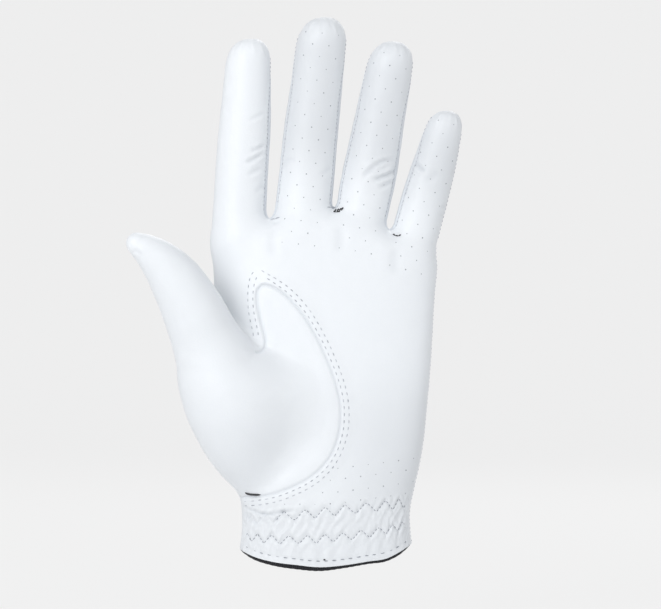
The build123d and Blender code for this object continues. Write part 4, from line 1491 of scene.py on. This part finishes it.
@dataclass
class Stitching:
    """Every row of thread on the leather."""

    thread: float = 0.19
    seam_pitch: float = 2.9
    seam_fill: float = 0.5
    zigzag_pitch: float = 1.7
    hem_pitch: float = 3.4
    strip_pitch: float = 1.75

    def front_row(self, line: Array, pitch: float, fill: float, radius: float) -> tuple[Array, Array]:
        """Stitches along a line drawn in the front view."""
        places = even_places(line, pitch)
        base = HAND.on_front(places[:, 0], places[:, 1])
        points, normals = skin_points(base, 0.03)
        return seam_stitches(points, normals, fill, radius)

    def make(self, name: str, parts: list[tuple[Array, Array]], thread: bpy.types.Material, hold: Hold) -> None:
        """Join rows into one piece of thread and dress it."""
        points, faces = join_parts(parts)
        dress(new_object(name, points, faces), thread, hold)

    def thumb_seam(self, thread: bpy.types.Material) -> None:
        """The double row round the thumb's seam."""
        rows = [self.front_row(line, self.seam_pitch, self.seam_fill, self.thread)
                for line in SEAM.stitch_lines()]
        self.make("thumb_seam_stitches", rows, thread, Hold())

    def wrist(self, thread: bpy.types.Material) -> None:
        """The two zigzag rows over the elastics, and the row above the hem."""
        for name, zigzag, start in (("upper", WRIST.upper, -21.0), ("lower", WRIST.lower, -33.5)):
            line = WRIST.row(zigzag, start, 34.2)
            rows = [self.front_row(line, self.zigzag_pitch, 0.66, self.thread * 0.9)]
            self.make(f"{name}_zigzag_stitches", rows, thread, Hold())
        x = np.linspace(-36.0, 36.0, 200)
        line = np.stack([x, WRIST.hem(x) + WRIST.hem_row], axis=1)
        front = self.front_row(line, self.hem_pitch, 0.5, self.thread)
        self.make("hem_stitches", [front, *self.back_hem()], thread, Hold())

    def back_hem(self) -> list[tuple[Array, Array]]:
        """The hem's row on the back, on each side of the opening."""
        found = []
        for start, end in ((-36.0, WRIST.slit_x - 5.4), (WRIST.slit_x + 5.4, 36.0)):
            x = np.linspace(start, end, 120)
            places = even_places(np.stack([x, WRIST.hem(x) + WRIST.hem_row], axis=1), self.hem_pitch)
            points, normals = skin_points(HAND.on_back(places[:, 0], places[:, 1]), 0.03)
            found.append(seam_stitches(points, normals, 0.82, self.thread))
        return found

    def strip_row(self, finger: FingerForm, side: Side, edge: int) -> tuple[Array, Array]:
        """Small stitches beside one edge of a side strip, from the fork to where the strip ends."""
        height = np.arange(3.0, finger.length * 0.93, self.strip_pitch)
        half = finger.strip_half_width(height) + 0.75
        centre = finger.centre(height)
        centre[:, 1] += edge * half
        base = HAND.cast(centre, finger.across * side.value, 16.0)
        points, normals = skin_points(base, 0.02)
        return seam_stitches(points, normals, 0.55, self.thread * 0.75)

    def fingers(self, thread: bpy.types.Material) -> None:
        """Both edges of every side strip, and the little finger's outer seam."""
        for finger in HAND.fingers:
            rows = [self.strip_row(finger, side, edge) for side in finger.strips for edge in (-1, 1)]
            if finger.name == "little":
                height = np.arange(3.0, finger.length - 6.0, self.strip_pitch)
                centre = finger.centre(height)
                centre[:, 1] -= 0.75
                base = HAND.cast(centre, finger.across, 16.0)
                points, normals = skin_points(base, 0.02)
                rows.append(seam_stitches(points, normals, 0.55, self.thread * 0.75))
            self.make(f"{finger.name}_strip_stitches", rows, thread, finger_hold(finger))

    def side_seam(self, thread: bpy.types.Material) -> None:
        """The seam down the hand's outer side."""
        z = np.arange(12.0, 137.0, self.strip_pitch)
        starts = np.stack([np.zeros(len(z)), np.full(len(z), -0.8), z], axis=1)
        points, normals = skin_points(HAND.cast(starts, np.array([1.0, 0.0, 0.0]), 70.0), -0.04)
        self.make("side_seam_stitches", [seam_stitches(points, normals, 0.55, self.thread * 0.75)], thread,
                  Hold())

    def bar(self, points: tuple[tuple[float, float], ...], radius: float) -> tuple[Array, Array]:
        """One short bar of thread between neighbouring places of the palm side."""
        line = np.array(points)
        base = HAND.on_front(line[:, 0], line[:, 1])
        places, normals = skin_points(base, 0.05)
        return stitch_mesh(places[:-1], places[1:], normals[:-1], radius)

    def forks(self, thread: bpy.types.Material, black_and_gap_shade: bpy.types.Material) -> None:
        """The bar tacks that hold each fork, the dark thread ends in two of them, and two thick black bars of
        painted shade in the gap under the lower edge of the thumb's ball.
        """
        tacks = (
            ((-22.9, 147.3), (-20.8, 147.6), (-18.8, 148.2)), ((0.6, 152.5), (2.4, 152.3), (4.2, 152.5)),
        )
        darks = (((3.4, 150.6), (4.6, 150.3), (6.4, 150.6)), ((3.9, 150.4), (4.9, 151.6)),
                 ((5.0, 150.4), (6.0, 151.9)), ((6.0, 150.7), (7.0, 152.2)), ((6.9, 151.0), (7.8, 152.5)),
                 ((28.3, 141.4), (29.3, 140.7), (30.6, 140.5), (31.8, 141.1)), ((-0.7, 6.1), (0.2, 6.1)))
        # Painted shade: thick black bars put into the dark gap under the lower edge of the thumb's ball.
        gap = (((-33.4, 33.7), (-29.2, 32.7)), ((-31.4, 33.1), (-26.6, 32.8)))
        self.make("fork_tacks", [self.bar(points, 0.24) for points in tacks], thread, Hold())
        rows = [self.bar(points, 0.3) for points in darks]
        self.make("dark_thread_ends_and_gap_shade", [*rows, *(self.bar(points, 0.5) for points in gap)], black_and_gap_shade, Hold())

    def build(self) -> None:
        """Build every row."""
        thread, black_and_gap_shade = WHITE_THREAD.material(), BLACK_THREAD_AND_GAP_SHADE.material()
        self.thumb_seam(thread)
        self.wrist(WHITE_THREAD_IN_PAINTED_SHADE.material())
        self.fingers(thread)
        self.side_seam(thread)
        self.forks(thread, black_and_gap_shade)


@dataclass
class Vents:
    """The small punched holes in the palm side of the fingers and above the wrist."""

    radius: float = 0.31
    seed: int = 7
    pitch_across: float = 6.8
    pitch_along: float = 4.9

    def dimples(self, base: Array) -> tuple[Array, Array]:
        """One small dark dish for each place: a closed disc of eight sides with a hollow middle."""
        points, normals = skin_points(base, 0.0)
        radius = self.radius * np.random.default_rng(self.seed + len(base)).uniform(0.62, 1.0, len(base))
        sides = 8
        turn = np.arange(sides) * 2 * math.pi / sides
        across = unit(np.cross(normals, np.array([0.0, 0.3, 1.0])))
        along = np.cross(normals, across)
        ring = across[:, None] * np.cos(turn)[None, :, None] + along[:, None] * np.sin(turn)[None, :, None]
        levels = ((1.0, -0.25), (1.0, 0.03), (0.72, 0.05), (0.5, 0.0))
        shells = [points[:, None] + ring * (radius * size)[:, None, None] + normals[:, None] * rise
                  for size, rise in levels]
        body = np.stack(shells, axis=1).reshape(len(points), -1, 3)
        faces = grid_faces(4, sides, False, True)
        ends = np.array([[0, 1, 2, 3], [0, 3, 4, 7], [4, 5, 6, 7]])
        faces = np.concatenate([faces[:, ::-1], ends, ends[:, ::-1] + 3 * sides])
        every = faces[None] + (np.arange(len(points)) * 4 * sides)[:, None, None]
        return face_out(body.reshape(-1, 3), every.reshape(-1, 4))

    def finger_grid(self, finger: FingerForm) -> tuple[Array, Array]:
        """Across and along places of a staggered grid on a finger."""
        rows = np.arange(-13.0, finger.length - 5.0, self.pitch_along)
        columns = np.arange(-2, 3) * self.pitch_across
        shift = np.where(np.arange(len(rows)) % 2 == 1, self.pitch_across / 2, 0.0)
        across = (columns[None, :] + shift[:, None]).ravel()
        heights = np.repeat(rows, len(columns))
        keep = np.abs(across) < finger.half_width(heights) * 0.86
        keep &= heights < finger.length - 3.0 - np.abs(across) * 0.5
        return across[keep], heights[keep]

    def build(self) -> None:
        """Punch the fingers' holes and the band above the wrist."""
        shade = VENT_SHADE.material()
        hand_places = []
        for finger in HAND.fingers[1:]:
            across, height = self.finger_grid(finger)
            places = np.array([finger.base[0], 0.0, finger.base[1]]) + across[:, None] * finger.across
            places = places + height[:, None] * finger.along
            low = height < 2.6
            hand_places.append(places[low])
            base = HAND.on_front(places[~low, 0], places[~low, 2])
            points, faces = self.dimples(base)
            dress(new_object(f"{finger.name}_vent_holes", points, faces, False), shade,
                  finger_hold(finger))
        columns, rows = np.meshgrid(np.arange(-23.0, 34.0, 6.3), np.arange(4))
        x = (columns + np.where(rows % 2 == 1, 3.15, 0.0)).ravel()
        z = (29.0 + rows * 4.9 + 0.12 * np.maximum(columns, 0.0)).ravel()
        clear = SEAM.field(np.stack([x, np.full(len(x), -15.0), z], axis=1)) > 5.0
        hand_places.append(np.stack([x, np.zeros(len(x)), z], axis=1)[clear])
        places = np.concatenate(hand_places)
        points, faces = self.dimples(HAND.on_front(places[:, 0], places[:, 2]))
        dress(new_object("palm_vent_holes", points, faces, False), shade, Hold())


@dataclass
class WristBands:
    """The black tape inside the hem, the two elastics, and the tape behind the thumb's seam."""

    tape_width: float = 4.3
    elastic_width: float = 6.0
    elastic_heights: tuple[tuple[str, float], ...] = (("lower_elastic", 16.6), ("upper_elastic", 24.6))

    def band(self, name: str, turns: Array, low: Array, high: Array, inset: float, thick: float,
             finish: Woven, slot: str) -> None:
        """A band inside the wrist, with numbers for its weave along and across it.

        Args:
            name: the piece's name, and its node's name with _band taken off.
            turns: turns round the wrist from the middle of the palm side.
            low: the lower edge's height at each turn.
            high: the upper edge's height.
            inset: how far under the form the outer face lies.
            thick: the band's thickness.
            finish: its weave.
            slot: not used.
        """
        share = np.linspace(0.0, 1.0, 7)
        z = low[:, None] + (high - low)[:, None] * share[None, :]
        turn = np.broadcast_to(turns[:, None], z.shape)
        base = HAND.around(turn.ravel(), np.maximum(z.ravel(), -2.0))
        base[:, 2] = z.ravel()
        normals = HAND.normals(base)
        shape = (*z.shape, 3)
        points, faces = slab(base.reshape(shape), normals.reshape(shape), -inset - thick, -inset)
        obj = new_object(name, points, faces)
        length = run_along(base.reshape(shape)[:, 3])
        along = np.broadcast_to(length[:, None], z.shape).ravel()
        rise = np.broadcast_to(z - low[:, None], z.shape).ravel()
        add_values(obj, "run", np.concatenate([along, along]))
        add_values(obj, "rise", np.concatenate([rise, rise]))
        dress(obj, finish.material(), Hold(), (name.removesuffix("_band"),))

    def build(self) -> None:
        """Build the bands."""
        gap = 0.14
        turns = np.linspace(-math.pi + gap + 0.08, math.pi - gap + 0.08, 260)
        x = HAND.around(turns, np.full(len(turns), 3.0))[:, 0]
        low = WRIST.tape_low(x)
        self.band("hem_tape_band", turns, low, low + self.tape_width, 0.62, 0.5, BLACK_TAPE, "hem_tape")
        arc = np.linspace(-1.36, 1.36, 160)
        for name, height in self.elastic_heights:
            middle = np.full(len(arc), height)
            self.band(f"{name}_band", arc, middle - self.elastic_width / 2, middle + self.elastic_width / 2,
                      1.5, 0.6, WHITE_ELASTIC, "elastic")

    def seam_tape(self) -> None:
        """The reinforcing tape under the double row, inside the palm."""
        line = SEAM.line()
        steps = unit(np.gradient(line, axis=0))
        outward = np.stack([steps[:, 1], -steps[:, 0]], axis=1)
        middle = (line + outward * 2.0)[14:100]
        base = HAND.on_front(middle[:, 0], middle[:, 1])
        points, faces = ribbon(base, HAND.normals(base), 1.7, -1.6, -1.15)
        obj = new_object("thumb_seam_tape_band", points, faces)
        run = np.repeat(np.arange(len(middle)) * 1.4, 9)
        rise = np.tile(np.linspace(0.0, 3.4, 9), len(middle))
        add_values(obj, "run", np.concatenate([run, run]))
        add_values(obj, "rise", np.concatenate([rise, rise]))
        dress(obj, SEAM_TAPE.material(), Hold(), ("thumb_seam_tape",))


@dataclass
class BackOpening:
    """The bound opening in the back of the wrist."""

    binding_half: float = 1.6
    thickness: float = 0.62

    def line(self, distance: float) -> Array:
        """A line round the opening, a distance from its edge: up one side, over the top and down."""
        radius = WRIST.slit_half + distance
        turn = np.linspace(math.pi, 0.0, 25)
        arc = np.stack([WRIST.slit_x + radius * np.cos(turn), WRIST.slit_top + radius * np.sin(turn)], axis=1)
        bottom = WRIST.hem(np.array([WRIST.slit_x]))[0] + 0.15
        rise = np.linspace(bottom, WRIST.slit_top, 60)[:-1]
        left = np.stack([np.full(59, WRIST.slit_x - radius), rise], axis=1)
        right = np.stack([np.full(59, WRIST.slit_x + radius), rise[::-1]], axis=1)
        return np.concatenate([left, arc, right])

    def build(self) -> None:
        """Build the binding and its two rows of stitches."""
        line = self.line(self.binding_half - 0.25)
        base, normals = skin_points(HAND.on_back(line[:, 0], line[:, 1]))
        points, faces = ribbon(base, normals, self.binding_half, 0.04, self.thickness)
        dress(new_object("slit_binding_strip", points, faces), BINDING_LEATHER.material(), Hold(),
              ("slit_binding",))
        places = even_places(self.line(self.binding_half * 2 - 1.0), 2.1)
        base, normals = skin_points(HAND.on_back(places[:, 0], places[:, 1]))
        rows = [seam_stitches(base + normals * (self.thickness * 0.92), normals, 0.6, 0.15)]
        Stitching().make("slit_binding_stitches", rows, WHITE_THREAD.material(), Hold())


@dataclass
class ClosureTab:
    """The leather tab over the opening, its lining and hooks, the loops under it and its sewn root."""

    root_x: float = -17.0
    tip_x: float = 31.0
    middle_z: float = 31.0
    root_half: float = 11.5
    tip_half: float = 9.5
    pad_start: float = 5.0
    pad_end: float = 27.0
    pad_half: float = 7.0
    pad_corner: float = 2.5
    anchor_width: float = 8.0
    loop_heights: tuple[float, float] = (0.25, 1.25)
    hook_heights: tuple[float, float] = (1.5, 2.35)
    lining_heights: tuple[float, float] = (2.38, 2.86)
    leather_heights: tuple[float, float] = (2.9, 3.75)
    anchor_heights: tuple[float, float] = (0.2, 3.75)
    thread_lift: float = 3.78
    lining_inset: float = 0.4
    edge_inset: float = 1.5
    box: tuple[float, float, float] = (1.6, 1.4, 9.6)

    def half(self, x: Array) -> Array:
        """Half the tab's height: straight from root to shoulder, then an oval end."""
        shoulder = self.tip_x - self.tip_half * 0.8
        share = np.clip((x - self.root_x) / (shoulder - self.root_x), 0.0, 1.0)
        straight = self.root_half + (self.tip_half - self.root_half) * share
        end = np.clip((x - shoulder) / (self.tip_x - shoulder), 0.0, 1.0)
        return straight * np.sqrt(np.maximum(1.0 - end**2.4, 0.0)) + 2e-3

    def lining_half(self, x: Array) -> Array:
        """Half the lining's height: a little inside the leather, where there is room."""
        half = self.half(x)
        return half - self.lining_inset * (half > 2 * self.lining_inset)

    def strap(self, name: str, start: float, end: float, half: Callable[[Array], Array], low: float,
              high: float, material: bpy.types.Material, slot: str, hold: Hold) -> None:
        """One flat piece of the tab."""
        points, faces = back_strap(start, end, self.middle_z, half, low, high)
        obj = new_object(name, points, faces)
        dress(obj, material, hold, (NODE_OF_STRAP[name],))

    def edge_rows(self, inset: float) -> Array:
        """The tab's stitching line: its outline, a distance in from the edge."""
        reach = self.tip_x - inset
        x = np.linspace(self.root_x + 1.0, reach, 400)
        grown = self.tip_x - (reach - x) * (self.tip_x - self.root_x) / (reach - self.root_x)
        half = np.maximum(self.half(grown) - inset, 0.0)
        upper = np.stack([x, self.middle_z + half], axis=1)
        lower = np.stack([x, self.middle_z - half], axis=1)
        return np.concatenate([upper, lower[::-1]])

    def lay_stitches(self, name: str, line: Array, lift: float, hold: Hold) -> None:
        """A row of stitches on the tab, a height above the glove's back."""
        places = even_places(line, 2.3)
        base = HAND.on_back(places[:, 0], places[:, 1])
        normals = HAND.normals(base)
        rows = [seam_stitches(base + normals * lift, normals, 0.62, 0.16)]
        Stitching().make(name, rows, WHITE_THREAD.material(), hold)

    def build(self) -> None:
        """Build the tab from the loops out to its leather."""
        bend = Hold("closure_tab", (self.root_x - 0.6, 21.0, self.middle_z),
                    (self.root_x + 3.0, 21.0, self.middle_z))
        pad = rounded_half(self.pad_start, self.pad_end, self.pad_half, self.pad_corner)
        pad_ends = (self.pad_start, self.pad_end, pad)
        start = self.root_x - self.anchor_width
        root = rounded_half(start, self.root_x + 40.0, self.root_half, 1.2)
        leather = TAB_LEATHER.material()
        loops, hooks = LOOP_PILE.material(), HOOK_FIELD.material()
        lining = (self.root_x + self.lining_inset, self.tip_x - 0.5, self.lining_half)
        straps = (
            ("loop_pad_face", *pad_ends, *self.loop_heights, loops, "loops", Hold()),
            ("hook_pad_face", *pad_ends, *self.hook_heights, hooks, "hooks", Hold("closure_tab")),
            ("tab_lining_strap", *lining, *self.lining_heights, leather, "tab_leather", bend),
            ("tab_leather_strap", self.root_x, self.tip_x, self.half, *self.leather_heights, leather,
             "tab_leather", bend),
            ("tab_anchor_strap", start, self.root_x, root, *self.anchor_heights, leather, "tab_leather",
             Hold()),
        )
        for strap in straps:
            self.strap(*strap)
        self.lay_stitches("tab_edge_stitches", self.edge_rows(self.edge_inset), self.thread_lift, bend)
        left, right, half = self.box
        sides = (start + left, self.root_x - right)
        corners = ((0, half), (1, half), (1, -half), (0, -half), (0, half))
        box = np.array([(sides[i], self.middle_z + z) for i, z in corners])
        dense = np.concatenate([np.linspace(a, b, 30)[:-1] for a, b in zip(box, box[1:])])
        self.lay_stitches("tab_anchor_stitches", dense, self.thread_lift, Hold())


NODE_OF_STRAP = {
    "loop_pad_face": "loop_pad", "hook_pad_face": "hook_pad", "tab_lining_strap": "tab_lining",
    "tab_leather_strap": "tab_leather", "tab_anchor_strap": "tab_anchor",
}


@dataclass
class Studio:
    """The floor and backdrop, the lamps and the camera, in metres."""

    floor: float = -0.025
    wall: float = 2.3
    pale: float = 0.871
    albedo: float = 0.08
    spill: float = 0.066
    sky: Colour = (0.96, 0.975, 1.0)
    sky_strength: float = 0.62
    lamps: tuple[tuple[str, tuple[float, float, float], float, float], ...] = (
        ("key_lamp", (-0.7, -1.1, 0.46), 0.7, 8.35), ("fill_lamp", (0.95, -0.8, 0.35), 0.9, 2.3),
        ("back_lamp", (0.3, 1.0, 0.9), 0.8, 5.0),
    )
    lit_height: float = 0.11
    eye: float = 1.5
    view_width: float = 0.2776
    aim: tuple[float, float] = (0.0023, 0.1119)

    def backdrop(self) -> None:
        """A floor that curves up into a wall, shown evenly pale to the camera but still taking shadow."""
        depth = np.linspace(0.0, 1.0, 60)
        turn = np.clip((depth - 0.5) / 0.25, 0.0, 1.0) * math.pi / 2
        y = np.where(depth < 0.5, self.wall - 5.5 + depth * 11.0, self.wall + 0.5 * np.sin(turn)) * 1000
        z = np.where(depth < 0.75, 0.5 * (1 - np.cos(turn)), 0.5 + (depth - 0.75) * 10.0) + self.floor
        x = np.linspace(-3.0, 3.0, 9) * 1000
        points = np.stack([np.broadcast_to(x[None], (60, 9)), np.broadcast_to(y[:, None], (60, 9)),
                           np.broadcast_to(z[:, None] * 1000, (60, 9))], axis=-1)
        obj = new_object("backdrop", points.reshape(-1, 3), grid_faces(60, 9, False, False)[:, ::-1])
        nodes = Nodes("pale_backdrop")
        plain = nodes.add("ShaderNodeBsdfDiffuse", Color=(0.8, 0.8, 0.8, 1.0))
        dim = nodes.add("ShaderNodeBsdfDiffuse", Color=(self.albedo, self.albedo, self.albedo, 1.0))
        glow = nodes.add("ShaderNodeEmission", Color=(1.0, 1.0, 1.0, 1.0), Strength=self.pale - self.spill)
        both = nodes.add("ShaderNodeAddShader", n0=dim.outputs[0], n1=glow.outputs[0])
        mixed = nodes.add("ShaderNodeMixShader", n0=nodes.seen(), n1=plain.outputs[0], n2=both.outputs[0])
        nodes.add("ShaderNodeOutputMaterial", Surface=mixed.outputs[0])
        obj.data.materials.append(nodes.owner)

    def lamp(self, name: str, place: tuple[float, float, float], size: float, power: float) -> None:
        """A square soft lamp that points at the glove."""
        light = bpy.data.lights.new(name, "AREA")
        light.size = size
        light.energy = power
        obj = bpy.data.objects.new(name, light)
        bpy.context.scene.collection.objects.link(obj)
        obj.location = place
        aim = np.array([0.0, 0.0, self.lit_height]) - np.array(place)
        tilt = math.acos(-aim[2] / np.linalg.norm(aim))
        obj.rotation_euler = (tilt, 0.0, math.atan2(aim[1], aim[0]) - math.pi / 2)

    def room(self) -> None:
        """A world that lights softly, and that the camera and reflections see as pale as the backdrop."""
        nodes = Nodes("pale_room", "worlds")
        light = nodes.add("ShaderNodeBackground", Color=(*self.sky, 1.0), Strength=self.sky_strength)
        pale = nodes.add("ShaderNodeBackground", Color=(self.pale, self.pale, self.pale, 1.0))
        mixed = nodes.add("ShaderNodeMixShader", n0=nodes.seen(), n1=light.outputs[0], n2=pale.outputs[0])
        nodes.add("ShaderNodeOutputWorld", Surface=mixed.outputs[0])
        bpy.context.scene.world = nodes.owner

    def build(self) -> None:
        """Set the camera, the lamps and the world."""
        scene = bpy.context.scene
        scene.view_settings.view_transform = "Standard"
        self.backdrop()
        for lamp in self.lamps:
            self.lamp(*lamp)
        self.room()
        camera = bpy.data.cameras.new("camera")
        camera.sensor_width = 36.0
        camera.lens = 36.0 * self.eye / self.view_width
        camera.clip_start, camera.clip_end = 0.05, 20.0
        obj = bpy.data.objects.new("camera", camera)
        scene.collection.objects.link(obj)
        obj.location = (self.aim[0], -self.eye, self.aim[1])
        obj.rotation_euler = (math.pi / 2, 0.0, 0.0)
        scene.camera = obj


def main() -> None:
    """Build the studio and every part of the glove."""
    Studio().build()
    GloveSkin().build()
    Stitching().build()
    Vents().build()
    bands = WristBands()
    bands.build()
    bands.seam_tape()
    BackOpening().build()
    ClosureTab().build()


if __name__ == "__main__":
    main()
